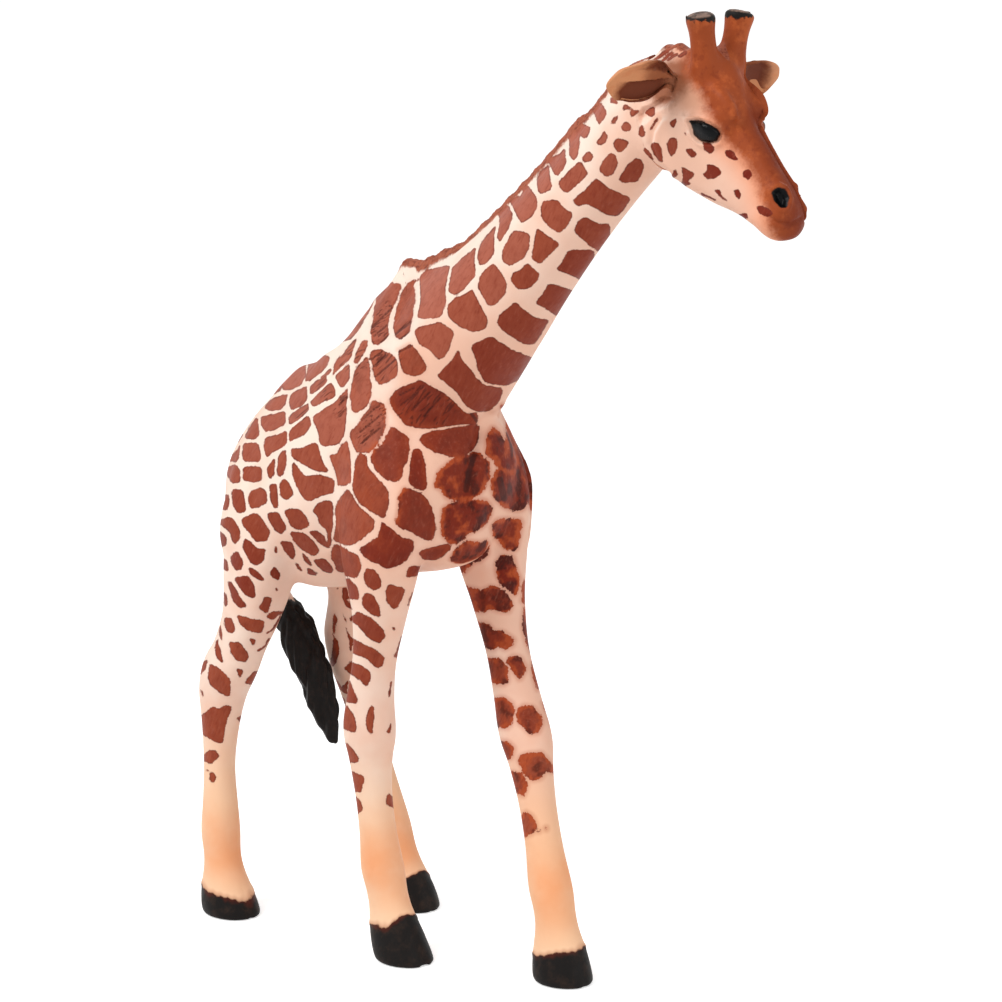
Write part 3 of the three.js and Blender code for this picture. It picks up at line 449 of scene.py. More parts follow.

# The paint of each group of patches, from pink brown (0) to dark red (1): the tone at one picture point, the
# tone at another, how rusty and blotched it is, and how far it spreads past its outlines in millimetres. The
# pink brown on the back and top is partly painted sheen, the dark red on the throat, chest and lower sides
# partly painted shade
PATCH_GROUPS = (
    (NECK_PATCHES, (568, 151), 0.05, (628, 203), 0.78, 0.0, 0.08),
    (SHOULDER_PATCHES, (365, 400), 0.15, (418, 419), 0.86, 0.2, 0.2),
    (CHEST_PATCHES, (480, 440), 0.9, (480, 590), 0.9, 1.0, 0.15),
    (FLANK_PATCHES, (300, 370), 0.08, (262, 560), 0.78, 0.0, 0.16),
    (HIND_LEG_PATCHES, (240, 600), 0.6, (215, 780), 0.5, 0.1, 0.12),
    (FORE_LEG_PATCHES, (366, 580), 0.7, (356, 800), 0.42, 0.1, 0.02),
    (FAR_FORE_LEG_PATCHES, (490, 590), 0.88, (525, 820), 0.5, 0.8, 0.05),
    (FAR_HIND_LEG_PATCHES, (336, 610), 0.6, (340, 690), 0.6, 0.3, 0.1),
    (FACE_PATCHES, (712, 165), 0.97, (672, 145), 0.6, 0.0, 0.03),
)
# How far from a patch its depth is kept, in millimetres and in picture points, and its width of plain ground
PATCH_REACH = 3.0
PATCH_NEAR = 16
PATCH_LINE = 0.22
# The tone between red brown and the two others, and how the tone changes from one patch to the next
MIDDLE_TONE = 0.5
TONE_CHANGE = 0.07
TONE_TURN = 2.4


def paint(red, green, blue):
    """A colour as light, from the 0 to 255 values that a picture of it has"""
    shares = (value / 255 for value in (red, green, blue))
    return tuple(share / 12.92 if share < 0.04045 else ((share + 0.055) / 1.055) ** 2.4 for share in shares)


def colour(label, red, green, blue, says):
    """A colour that can be set"""
    return FloatVectorProperty(
        name=label, description=says, subtype="COLOR", size=3, min=0, max=1, default=paint(red, green, blue)
    )


def length(label, millimetres, says):
    """A length that can be set"""
    return FloatProperty(
        name=label, description=says, unit="LENGTH", subtype="DISTANCE", precision=5,
        default=millimetres * MM,
    )


class GiraffePaint(bpy.types.PropertyGroup):
    """The colours of the painted finish"""

    cream: colour("Cream", 248, 226, 210, "Ground colour between the patches")
    # Peach is laid as painted shade: the ground's blush, and the undersides of the belly and upper legs
    shade_peach: colour("Peach", 236, 184, 158, "Ground colour where it is shaded by hand")
    orange: colour("Orange", 242, 150, 92, "Sprayed on the lower legs")
    sand: colour("Sand", 248, 204, 161, "Ground colour of the lower legs")
    # Pink brown stands partly for painted sheen on the back, dark red partly for painted shade on the throat
    # and chest
    red_brown: colour("Red brown", 152, 71, 47, "Patches on the sides and legs")
    sheen_pink_brown: colour("Pink brown", 174, 99, 79, "Patches on the back")
    dark_red: colour("Dark red", 114, 32, 16, "Patches on the throat and chest")
    # Blotch is also laid as painted shade in the folds and creases
    blotch_and_fold_shade: colour("Blotch", 62, 22, 16, "Darkest places of the patches, and the folds")
    patch_edge: colour("Patch edge", 96, 38, 30, "Thin dark line round a patch")
    rust: colour("Rust", 182, 80, 40, "Rims of the chest's patches")
    face: colour("Face", 154, 71, 36, "Forehead, nose and horns")
    face_bright: colour("Bright face", 198, 102, 54, "Brighter places on the forehead and the lips")
    # The muzzle's dark is partly the lips' paint and partly painted shade on the front of the nose
    muzzle: colour("Muzzle", 112, 42, 24, "Front of the lips")
    temple: colour("Temple", 208, 154, 126, "Fade behind the eye")
    # The ears' roots are brown partly as paint and partly as painted shade beneath the ears
    ear_root_and_shade: colour("Ear root", 144, 82, 52, "Where the ears leave the head")
    glow: colour("Glow", 232, 146, 106, "Cream beside the brown face")
    mane: colour("Mane", 166, 92, 68, "Strands along the crest")
    ear_rim: colour("Ear rim", 206, 140, 98, "Rim and back of the ears")
    # The ears' hollows are dark partly as paint and partly as painted shade
    ear_hollow_and_shade: colour("Ear hollow", 112, 56, 36, "Inside of the ears")
    hoof: colour("Hoof", 24, 21, 20, "Hooves, tuft and horn tops")
    hoof_worn: colour("Worn hoof", 48, 36, 30, "Thin places in the black paint")
    horn_worn: colour("Worn horn", 150, 122, 108, "Tops of the horns, where the black is rubbed off")
    eye: colour("Eye", 6, 7, 9, "Eyes and nostrils")
    gloss: FloatProperty(name="Roughness", description="Roughness of the paint", default=0.5, min=0, max=1)
    wet: FloatProperty(name="Eye roughness", description="Roughness of the eyes", default=0.3, min=0, max=1)


class GiraffeRelief(bpy.types.PropertyGroup):
    """The sizes of the moulded surface"""

    body_grain: length("Body grain", 0.34, "Size of the faces on the torso, neck and legs")
    head_grain: length("Head grain", 0.21, "Size of the faces on the head, ears and tail")
    closing: length("Closing", 0.22, "Half of the widest glue gap that the skin closes")
    strand: length("Strand", 0.9, "Width of a strand of the mane")
    mane_lift: length("Mane lift", 0.55, "How far the mane's strands stand out")
    hollow: length("Ear hollow", 0.8, "How deep the ears are cupped")
    cleft: length("Hoof cleft", 0.08, "How deep the cut between the toes is")
    tuft_lift: length("Tuft lift", 0.5, "How far the tuft's strands stand out")


class GiraffeStage(bpy.types.PropertyGroup):
    """The floor and the lamps"""

    floor: length("Floor", 30000, "Side of the square floor")
    key: FloatProperty(name="Key", description="Power of the left lamp", default=3.5, subtype="POWER")
    fill: FloatProperty(name="Fill", description="Power of the right lamp", default=1.8, subtype="POWER")
    sky: FloatProperty(name="Sky", description="Strength of the light from all round", default=0.52)


def view_axes():
    """The eye, and the directions to the right, up and ahead of it"""
    turn, rise = math.radians(VIEW_TURN), math.radians(VIEW_RISE)
    right = np.array((math.cos(turn), math.sin(turn), 0))
    ahead = np.array((-math.sin(turn) * math.cos(rise), math.cos(turn) * math.cos(rise), -math.sin(rise)))
    eye = (np.array(VIEW_AIM) - ahead * VIEW_DISTANCE) * MM
    return eye, right, np.cross(right, ahead), ahead


EYE, RIGHT, UP, AHEAD = view_axes()
MIDDLE = VIEW_AIM[0] * MM


def picture_points(places):
    """Where places lie in the picture, and how many picture points a millimetre covers there"""
    offset = places - EYE
    scale = FOCAL / (offset @ AHEAD)
    points = np.column_stack((HALF_SIDE + offset @ RIGHT * scale, HALF_SIDE - offset @ UP * scale))
    return points, scale * MM


def sight_line(point):
    """The direction from the eye through a picture point"""
    across, rise = point[0] - HALF_SIDE, HALF_SIDE - point[1]
    return Vector(AHEAD + RIGHT * across / FOCAL + UP * rise / FOCAL).normalized()


def gap_to(points, line):
    """How far picture points lie from a line"""
    corners = np.array(line, float)
    nearest = np.full(len(points), np.inf)
    for start, end in zip(corners, corners[1:]):
        run = end - start
        offset = points - start
        share = np.clip(offset @ run / max(run @ run, TINY), 0, 1)
        nearest = np.minimum(nearest, np.hypot(*(offset - share[:, None] * run).T))
    return nearest


def depth_in(points, outline):
    """How far picture points lie inside a closed outline, below zero outside it"""
    corners = np.array(outline, float)
    inside = np.zeros(len(points), bool)
    for start, end in zip(corners, np.roll(corners, -1, axis=0)):
        run = end - start
        if run[1]:
            crosses = (start[1] > points[:, 1]) != (end[1] > points[:, 1])
            inside ^= crosses & (points[:, 0] < start[0] + (points[:, 1] - start[1]) * run[0] / run[1])
    nearest = gap_to(points, (*corners, corners[0]))
    return np.where(inside, nearest, -nearest)


# How much of each side of an outline is cut off at either end
CORNER_CUT = 0.14


def eased(outline):
    """The outline with its corners cut off a little"""
    near, far = 1 - CORNER_CUT, CORNER_CUT
    corners = np.array(outline, float)
    ends = np.roll(corners, -1, axis=0)
    return np.stack((corners * near + ends * far, corners * far + ends * near), 1).reshape(-1, 2)


def step(values, low, high):
    """A smooth rise from 0 at low to 1 at high"""
    share = np.clip((values - low) / (high - low), 0, 1)
    return share * share * (3 - 2 * share)


def bell(values, middle, width):
    """A smooth rise to 1 at the middle and back to 0"""
    return np.exp(-(((values - middle) / width) ** 2))


def plateau(values, half):
    """Near 1 up to half a width on either side of 0, and a steep fall past it"""
    return np.exp(-((values / half) ** 4))


def figure_tree():
    """A search tree over the solid pieces, for finding what the eye sees"""
    places, faces = [], []
    for node in frame["nodes"].values():
        start = len(places)
        places += [vertex.co.copy() for vertex in node.data.vertices]
        faces += [[start + i for i in polygon.vertices] for polygon in node.data.polygons]
    return BVHTree.FromPolygons(places, faces)


TREE = figure_tree()

# How a patch is let out past the figure's rim: how far back into it the surface is looked for, how far out
# the rim is looked for and how far a corner moves, in picture points, and the drop in millimetres at a rim
RIM_STEPS = (0, 2, 4, 6)
RIM_PROBE = 5
RIM_PUSH = 8
RIM_DROP = 5.0


def let_out(outline):
    """The outline with its corners on the figure's rim moved out past the rim"""
    corners = np.array(outline, float)
    middle = corners.mean(0)
    moved = []
    for corner in corners:
        inward = (middle - corner) / max(np.hypot(*(middle - corner)), TINY)
        for retreat in RIM_STEPS:
            _, normal, _, depth = TREE.ray_cast(Vector(EYE), sight_line(corner + inward * retreat))
            if normal is not None:
                break
        else:
            moved.append(corner - inward * RIM_PUSH)
            continue
        outward = np.array((np.dot(normal, RIGHT), -np.dot(normal, UP)))
        outward /= max(np.hypot(*outward), TINY)
        *_, beyond = TREE.ray_cast(Vector(EYE), sight_line(corner + outward * RIM_PROBE))
        at_rim = beyond is None or beyond > depth + RIM_DROP * MM
        outer = (corner - middle) @ outward > 0
        moved.append(corner + outward * RIM_PUSH if at_rim and outer else corner)
    return np.array(moved)


def vectors(items, name):
    """A vector that each of a mesh's items has, as rows"""
    values = np.empty(len(items) * 3)
    items.foreach_get(name, values)
    return values.reshape(-1, 3)


# How far past the surface that the eye meets a place may lie and still count as seen, in millimetres
SIGHT_SLACK = 4.0


class Skin:
    """A mesh's places, outward directions and neighbours, as arrays that the carving and painting work on"""

    def __init__(self, shape):
        self.shape = shape
        mesh = shape.data
        self.count = len(mesh.vertices)
        self.places = vectors(mesh.vertices, "co")
        self.edges = np.empty(len(mesh.edges) * 2, np.int64)
        mesh.edges.foreach_get("vertices", self.edges)
        self.edges = self.edges.reshape(-1, 2)
        self.ties = np.maximum(np.bincount(self.edges.ravel(), minlength=self.count), 1)
        self.refresh()

    def refresh(self):
        """Writes the places to the mesh and reads its outward directions"""
        mesh = self.shape.data
        mesh.vertices.foreach_set("co", self.places.ravel())
        mesh.update()
        self.normals = vectors(mesh.vertex_normals, "vector")

    def evened(self, values, rounds):
        """Values over the surface, each drawn half way to its neighbours' mean as often as asked"""
        first, second = self.edges.T
        rows = values.reshape(self.count, -1)
        for _ in range(rounds):
            total = np.zeros_like(rows)
            for column in range(rows.shape[1]):
                value = rows[:, column]
                total[:, column] = np.bincount(first, value[second], self.count)
                total[:, column] += np.bincount(second, value[first], self.count)
            rows = (rows + total / self.ties[:, None]) / 2
        return rows.reshape(values.shape)

    def rounded(self, rounds):
        """Takes the facets out, and gives back the form that plain smoothing would shrink away"""
        calm = self.evened(self.places, rounds)
        self.places = calm + self.evened(self.places - calm, rounds)
        self.refresh()

    def lift(self, heights):
        """Moves the surface out by heights in metres"""
        self.places = self.places + self.normals * heights[:, None]
        self.refresh()

    def seen(self, places, slack=SIGHT_SLACK):
        """Which places the eye sees, give or take a slack in millimetres"""
        eye = Vector(EYE)
        clear = np.zeros(len(places), bool)
        for i, place in enumerate(places):
            line = Vector(place) - eye
            reach = line.length
            *_, stop = TREE.ray_cast(eye, line / reach, reach)
            clear[i] = stop is None or stop > reach - slack * MM
        return clear

    def mark(self, name, values):
        """Keeps values in an attribute that the paint reads"""
        layer = self.shape.data.attributes.new(name, "FLOAT", "POINT")
        layer.data.foreach_set("value", np.asarray(values, np.float32))


def alone():
    """Leaves nothing selected"""
    if bpy.context.object and bpy.context.object.mode != "OBJECT":
        bpy.ops.object.mode_set(mode="OBJECT")
    bpy.ops.object.select_all(action="DESELECT")


def pick(shape):
    """Selects one object and makes it the active one"""
    alone()
    shape.select_set(True)
    bpy.context.view_layer.objects.active = shape


def apply(shape, kind, **settings):
    """Adds a modifier to an object and applies it"""
    pick(shape)
    modifier = shape.modifiers.new(kind.lower(), kind)
    for name, value in settings.items():
        setattr(modifier, name, value)
    bpy.ops.object.modifier_apply(modifier=modifier.name)


def copy_of(name, mesh):
    """A new object with a copy of a mesh"""
    shape = bpy.data.objects.new(name, mesh.copy())
    bpy.context.scene.collection.objects.link(shape)
    return shape


# How close together vertices are merged, in millimetres
MERGE = 0.001


def one_skin(name, nodes, grain, closing):
    """One closed surface over copies of these pieces, with the glue gaps between them closed"""
    copies = [copy_of(name, frame["nodes"][node].data) for node in nodes]
    alone()
    for shape in copies:
        shape.select_set(True)
    shape = copies[0]
    bpy.context.view_layer.objects.active = shape
    bpy.ops.object.join()
    shape.data.materials.clear()
    bpy.ops.object.mode_set(mode="EDIT")
    bpy.ops.mesh.select_all(action="SELECT")
    bpy.ops.mesh.remove_doubles(threshold=MERGE * MM)
    bpy.ops.object.mode_set(mode="OBJECT")
    if closing:
        apply(shape, "DISPLACE", strength=closing, mid_level=0)
    apply(shape, "REMESH", mode="VOXEL", voxel_size=grain)
    if closing:
        apply(shape, "DISPLACE", strength=-closing, mid_level=0)
    return shape


def cut(shape, place, normal, zone=None):
    """Cuts off what lies past a plane, where a test of the faces' middles allows it, and closes the hole"""
    pick(shape)
    bpy.ops.object.mode_set(mode="EDIT")
    bpy.ops.mesh.select_mode(type="FACE")
    bpy.ops.mesh.select_all(action="SELECT" if zone is None else "DESELECT")
    bpy.ops.object.mode_set(mode="OBJECT")
    if zone is not None:
        shape.data.polygons.foreach_set("select", zone(vectors(shape.data.polygons, "center")))
    bpy.ops.object.mode_set(mode="EDIT")
    bpy.ops.mesh.bisect(plane_co=place, plane_no=normal, use_fill=True, clear_outer=True)
    bpy.ops.object.mode_set(mode="OBJECT")


def keep_linked(shape, place):
    """Keeps only the part of a mesh that holds the vertex nearest to a place"""
    pick(shape)
    nearest = int(np.argmin(((vectors(shape.data.vertices, "co") - place) ** 2).sum(1)))
    bpy.ops.object.mode_set(mode="EDIT")
    bpy.ops.mesh.select_mode(type="VERT")
    bpy.ops.mesh.select_all(action="DESELECT")
    bpy.ops.object.mode_set(mode="OBJECT")
    shape.data.vertices[nearest].select = True
    bpy.ops.object.mode_set(mode="EDIT")
    bpy.ops.mesh.select_linked()
    bpy.ops.mesh.select_all(action="INVERT")
    bpy.ops.mesh.delete(type="VERT")
    bpy.ops.object.mode_set(mode="OBJECT")


# The sharpest angle between faces that is shaded smooth, in degrees
CREASE_ANGLE = 62.0


def finish_piece(shape, node, material):
    """Smooths and paints a finished piece, hangs it on the figure's body and hides the solid that it stands
    for
    """
    pick(shape)
    shape.data.materials.clear()
    shape.data.materials.append(material)
    bpy.ops.object.shade_smooth_by_angle(angle=math.radians(CREASE_ANGLE))
    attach(shape, "root")
    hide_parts(node)


def local(places):
    """Places in millimetres, sideways from the figure's middle plane"""
    values = places / MM
    values[:, 0] -= VIEW_AIM[0]
    return values


# Where the legs part, how far back in millimetres, higher up and at the hooves
FORE_HIND_SPLIT = 32.0
HOOF_SPLIT = 24.0
# The far legs: how far out they start, how high their own marks reach, and from where the hind one is seen
FAR_SIDE = 1.0
FAR_FORE_TOP = 74.0
FAR_HIND_TOP = 62.0
FAR_HIND_SEEN = 40.0
# How the hind legs stand: height, then how far back the near and the far one are there
HIND_LEG_LINES = (
    (0, 60.4, 40.4), (6, 62.0, 42.0), (16, 63.2, 45.6), (41.5, 62.4, 53.8), (49.6, 58.8, 54.6),
    (60, 54.4, 52.0), (76, 52.0, 52.0), (95, 52.0, 52.0),
)
# From where a surface counts as the crest, which the far side's marks reach across
CREST_TILT = 0.9
# How far the far side's marks sway, from how far out in full, and how long the waves are up and along
SWAY = 1.3
SWAY_REACH = 6.0
SWAY_ALONG = (3.1, 5.3)
SWAY_UP = (6.1, 3.7)
# The plain line where the two sides' marks meet: its place on the rim, the body's roundness and its width
FAR_OFF = 9.0
RIM_SIDE = 2.0
RIM_TILT = 0.3
RIM_ROUND = 10.0
RIM_GAP = 0.35


def pattern_places(skin):
    """Where on the near side each place takes its marks from, and how far it is from where the sides meet"""
    side, back, height = local(skin.places).T
    line = skin.places - EYE
    facing = -(skin.normals * line).sum(1) / np.linalg.norm(line, axis=1)
    shown = skin.seen(skin.places) & (facing > 0)
    beyond, behind = side > FAR_SIDE, back > FORE_HIND_SPLIT
    hind = beyond & behind & (height < FAR_HIND_TOP)
    legs = hind | (beyond & (back < FORE_HIND_SPLIT) & (height < FAR_FORE_TOP))
    hind &= ~(shown & (height > FAR_HIND_SEEN))
    mirrored = (side > 0) & ~legs & (~shown | (skin.normals[:, 2] > CREST_TILT))
    places = skin.places.copy()
    sway = np.minimum(side / SWAY_REACH, 1) * SWAY * MM
    places[mirrored, 0] = 2 * MIDDLE - places[mirrored, 0]
    places[mirrored, 1] += (np.sin(height / SWAY_ALONG[0] + back / SWAY_ALONG[1]) * sway)[mirrored]
    places[mirrored, 2] += (np.sin(back / SWAY_UP[1] - height / SWAY_UP[0]) * sway)[mirrored]
    table = np.array(HIND_LEG_LINES)
    shift = np.interp(height, table[:, 0], table[:, 1] - table[:, 2])
    places[hind, 0] = 2 * MIDDLE - places[hind, 0]
    places[hind, 1] += shift[hind] * MM
    meeting = np.full(skin.count, FAR_OFF)
    rim = (side > RIM_SIDE) & (skin.normals[:, 1] < RIM_TILT) & (skin.normals[:, 2] < CREST_TILT) & ~legs
    meeting[rim] = np.abs(RIM_ROUND * np.arcsin(np.clip(facing[rim], -1, 1)))
    return places, meeting - RIM_GAP


def in_strokes(points, scale, strokes):
    """How far inside any of these strokes picture points lie, in millimetres"""
    depth = np.full(len(points), -PATCH_REACH)
    for radius, line in strokes:
        depth = np.maximum(depth, radius - gap_to(points, line) / scale)
    return depth


def patch_marks(skin, places, meeting):
    """How far inside a patch each place lies in millimetres, and that patch's shade and rust"""
    points, scale = picture_points(places)
    reach = np.full(skin.count, -PATCH_REACH)
    second = reach.copy()
    shade = np.full(skin.count, MIDDLE_TONE)
    rust = np.zeros(skin.count)
    spread = np.zeros(skin.count)
    for outlines, start, start_tone, end, end_tone, rusty, growth in PATCH_GROUPS:
        run = np.subtract(end, start)
        for i, outline in enumerate(outlines):
            corners = eased(let_out(outline))
            share = np.clip((corners.mean(0) - start) @ run / (run @ run), 0, 1)
            low, high = corners.min(0) - PATCH_NEAR, corners.max(0) + PATCH_NEAR
            near = np.flatnonzero(((points > low) & (points < high)).all(1))
            depth = depth_in(points[near], corners) / scale[near]
            better = depth > reach[near]
            chosen = near[better]
            second[near] = np.maximum(second[near], np.minimum(depth, reach[near]))
            reach[chosen] = depth[better]
            shade[chosen] = start_tone + (end_tone - start_tone) * share
            shade[chosen] += TONE_CHANGE * math.sin(i * TONE_TURN)
            rust[chosen] = rusty
            spread[chosen] = growth
    grown = np.minimum(reach + spread, np.maximum((reach - second) / 2 - PATCH_LINE, reach))
    reach = np.where(reach > 0, reach + spread, grown)
    reach = np.maximum(reach, in_strokes(points, scale, STROKES))
    for line in RUSTY_RIMS:
        rust = np.maximum(rust, bell(gap_to(points, line) / scale, 0, RUSTY_WIDTH))
    return np.minimum(reach, meeting), shade, rust


# How many of its widths from its line a form is carved
CARVE_REACH = 2.6


def carve(skin, places, forms):
    """Raises and sinks the surface along the lines of these forms"""
    points, scale = picture_points(places)
    heights = np.zeros(skin.count)
    for height, width, line in forms:
        spread = width * scale
        corners = np.array(line, float)
        margin = CARVE_REACH * spread.max()
        near = ((points > corners.min(0) - margin) & (points < corners.max(0) + margin)).all(1)
        heights[near] += height * MM * bell(gap_to(points[near], line), 0, spread[near])
    skin.lift(heights)


# The ground's pink blush, partly the toy's sprayed pink and partly painted shade: on the throat and chest,
# less on the neck, under the belly and on the rump, and nearly none on top, where the surface faces up and
# backwards into the light
BLUSH_BACK = (4.0, 30.0)
BLUSH_NECK = (112, 126)
BLUSH_NECK_BACK = (-44, -30)
BLUSH_NECK_LOSS = 0.45
BLUSH_LOW = (72, 92)
BLUSH_LOW_SHARE = 0.45
BLUSH_RUMP = (28, 50)
BLUSH_RUMP_SHARE = 0.3
BLUSH_TOP_LEAN = (0.5, 0.6)
BLUSH_TOP = (-0.2, 0.5)
BLUSH_TOP_LOSS = 0.75
# The plain belly: up to what height, how far down its surface faces, and how far its patches draw back
BELLY_TOP = 78.0
BELLY_FACING = (0.7, 0.97)
BELLY_RETREAT = 3.0
# How often the marks are evened out
MARK_ROUNDS = 3


def marked_skin(skin):
    """Paints the patches, the painted shade of the folds and creases, and the ground's blush of painted shade
    on a skin
    """
    places, meeting = pattern_places(skin)
    reach, shade, rust = patch_marks(skin, places, meeting)
    _, back, height = local(skin.places).T
    tilt = skin.normals
    belly = BELLY_RETREAT * step(-tilt[:, 2], *BELLY_FACING)
    skin.mark("patch", skin.evened(np.where(height > BELLY_TOP, reach, reach - belly), 1))
    skin.mark("shade", skin.evened(shade, MARK_ROUNDS))
    skin.mark("rust", skin.evened(rust, MARK_ROUNDS))
    points, scale = picture_points(places)
    # Painted shade along the folds and the chest's furrows, and where the creases' dark dashes run
    skin.mark("fold", in_strokes(points, scale, FOLD_SHADE_LINES))
    skin.mark("crease_shade", in_strokes(points, scale, ((CREASE_REACH, line) for line in CREASE_SHADE_LINES)))
    # The blush of painted shade: most on the front and low down, least on top where the surface takes the
    # light
    neck = step(height, *BLUSH_NECK) * step(back, *BLUSH_NECK_BACK)
    front = (1 - step(back, *BLUSH_BACK)) * (1 - BLUSH_NECK_LOSS * neck)
    front = np.maximum(front, BLUSH_LOW_SHARE * (1 - step(height, *BLUSH_LOW)))
    top = step(tilt[:, 1:] @ BLUSH_TOP_LEAN, *BLUSH_TOP)
    rump = BLUSH_RUMP_SHARE * step(back, *BLUSH_RUMP)
    skin.mark("blush_shade", np.maximum(front * (1 - BLUSH_TOP_LOSS * top), rump))


def on_leg(name, side, back):
    """Which places are on a leg's side of the figure and at its hoof's place, in millimetres"""
    return ((side < 0) == ("right" in name)) & ((back < HOOF_SPLIT) == name.startswith("front"))


# Up to what height a leg counts as its sole, in millimetres
SOLE_TOP = 2.0


def sole_middles(skin):
    """The middle of each leg's sole, sideways and back, in metres"""
    side, back, height = local(skin.places).T
    middles = {}
    for name in LEGS:
        across, along = skin.places[on_leg(name, side, back) & (height < SOLE_TOP), :2].T
        middles[name] = (across.mean(), (along.min() + along.max()) / 2)
    return middles


# How high the black paint reaches on each leg, how much it rises with each millimetre forward, and how much
# more with each from a little behind the middle on
HOOF_TOPS = {
    "front_right_leg": (6.9, 0.1, 1.1), "front_left_leg": (5.8, 0.25, 0.0),
    "hind_right_leg": (4.9, -0.12, -0.14), "hind_left_leg": (3.3, 1.6, 0.0),
}
TOP_BEND = 0.3
LOWEST_TOP = 2.8
HIGHEST_TOP = 10.5


def hoof_tops(skin):
    """How high the black paint reaches at each place, in millimetres"""
    side, back, _ = local(skin.places).T
    tops = np.zeros(skin.count)
    for name, (_, along) in sole_middles(skin).items():
        near = on_leg(name, side, back)
        height, rise, kick = HOOF_TOPS[name]
        ahead = along / MM - back[near]
        rising = height + rise * ahead + kick * np.maximum(ahead + TOP_BEND, 0)
        tops[near] = np.clip(rising, LOWEST_TOP, HIGHEST_TOP)
    return tops


# The waves of the black paint's upper edge: their height, and how short they are sideways and back
HOOF_WAVES = ((0.25, 1.3, 0.9), (0.1, 3.7, -2.9))
# Where the orange is strongest on the fore and on the hind legs, how far it reaches and how it faces forward
FETLOCKS = (17.0, 13.0)
FETLOCK_REACH = 6.5
FETLOCK_SHARE = 0.62
FETLOCK_BEHIND = 0.45
FETLOCK_FACING = (-0.3, 0.7)
# The fainter orange of the shins, the orange painted shade on the far hind leg, and the sandy ground of the
# lower legs
SHIN_SHARE = 0.2
SHIN_FADE = (20, 56)
SHIN_START = 6
FAR_HIND_SHADE_SHARE = 0.3
FAR_HIND_SHADE_FADES = ((30, 44), (58, 70))
SANDY_FADE = (20, 44)
# The peach painted shade on surfaces that face down: how far down they face, and the heights it fades in over
UNDERSIDE_SHADE_FACING = (0.0, 0.8)
UNDERSIDE_SHADE_HEIGHT = (40, 60)


def leg_marks(skin):
    """Paints the hooves black, and the orange on the shins and fetlocks"""
    side, back, height = local(skin.places).T
    ragged = sum(size * np.sin(side * across + back * along) for size, across, along in HOOF_WAVES)
    tops = hoof_tops(skin)
    skin.mark("hoof", tops + ragged - height)
    fetlock = np.where(back < FORE_HIND_SPLIT, *FETLOCKS)
    ahead = 1 - step(skin.normals[:, 1], *FETLOCK_FACING)
    warm = FETLOCK_SHARE * bell(height, fetlock, FETLOCK_REACH)
    warm *= FETLOCK_BEHIND + (1 - FETLOCK_BEHIND) * ahead
    warm += SHIN_SHARE * (1 - step(height, *SHIN_FADE)) * step(height, tops, tops + SHIN_START)
    # Orange painted shade on the far hind leg
    far_hind = (side > FAR_SIDE) & (back > FORE_HIND_SPLIT)
    low, high = FAR_HIND_SHADE_FADES
    warm += FAR_HIND_SHADE_SHARE * far_hind * step(height, *low) * (1 - step(height, *high))
    skin.mark("warm", warm)
    # Peach painted shade where the surface faces down, above the lower legs
    skin.mark("inner", step(-skin.normals[:, 2], *UNDERSIDE_SHADE_FACING) * step(height, *UNDERSIDE_SHADE_HEIGHT))
    skin.mark("sandy", 1 - step(height, *SANDY_FADE))


# How the hooves' clefts are filled: degrees between the rays, height of a slice, height that is filled and
# over which it fades, the most times that a place moves out, and how often the moves are evened and repeated
RAY_STEP = 4
SLICE = 0.6
CLEFT_TOP = 6.0
CLEFT_FADE = 2.0
CLEFT_GROWTH = 1.5
CLEFT_ROUNDS = 4
CLEFT_PASSES = 2


def hull_growth(offset):
    """How many times farther out than each place the outline around all of them lies"""
    rays = np.radians(np.arange(-180, 181, RAY_STEP))
    corners = offset[geometry.convex_hull_2d([Vector(point) for point in offset])]
    run = np.roll(corners, -1, axis=0) - corners
    out = np.column_stack((run[:, 1], -run[:, 0]))
    gap = (out * corners).sum(1)
    out, gap = out * np.sign(gap)[:, None], np.abs(gap)
    facing = np.column_stack((np.cos(rays), np.sin(rays))) @ out.T
    hull = np.where(facing > TINY, gap / np.maximum(facing, TINY), np.inf).min(1)
    turn, reach = np.arctan2(offset[:, 1], offset[:, 0]), np.hypot(*offset.T)
    apart = np.abs((turn[None] - rays[:, None] + math.pi) % (2 * math.pi) - math.pi)
    shown = np.where(apart < math.radians(RAY_STEP), reach[None], 0).max(1)
    growth = np.where(shown > 0, np.clip(hull / np.maximum(shown, TINY), 1, CLEFT_GROWTH), 1)
    return np.interp(turn, rays, growth)


def fill_clefts(skin):
    """Fills the hollows in the outlines of the hooves"""
    side, back, height = local(skin.places).T
    moves = np.zeros((skin.count, 2))
    for name, middle in sole_middles(skin).items():
        near = on_leg(name, side, back)
        for low in np.arange(0, CLEFT_TOP, SLICE):
            slab = np.flatnonzero(near & (height >= low) & (height < low + SLICE))
            offset = skin.places[slab, :2] - middle
            moves[slab] = offset * (hull_growth(offset) - 1)[:, None]
    moves *= 1 - step(height, CLEFT_TOP - CLEFT_FADE, CLEFT_TOP)[:, None]
    skin.places[:, :2] += skin.evened(moves, CLEFT_ROUNDS)
    skin.refresh()


# The cut between the toes: its width, how far from the middle it reaches, and the heights it fades over
CLEFT_WIDTH = 0.42
CLEFT_SIDE = 3.0
CLEFT_LENGTH = 12.0
CLEFT_HEIGHTS = (4.5, 8.0)
# The ridge at the top of each hoof
CORONET_LIFT = 0.14
CORONET_WIDTH = 0.5


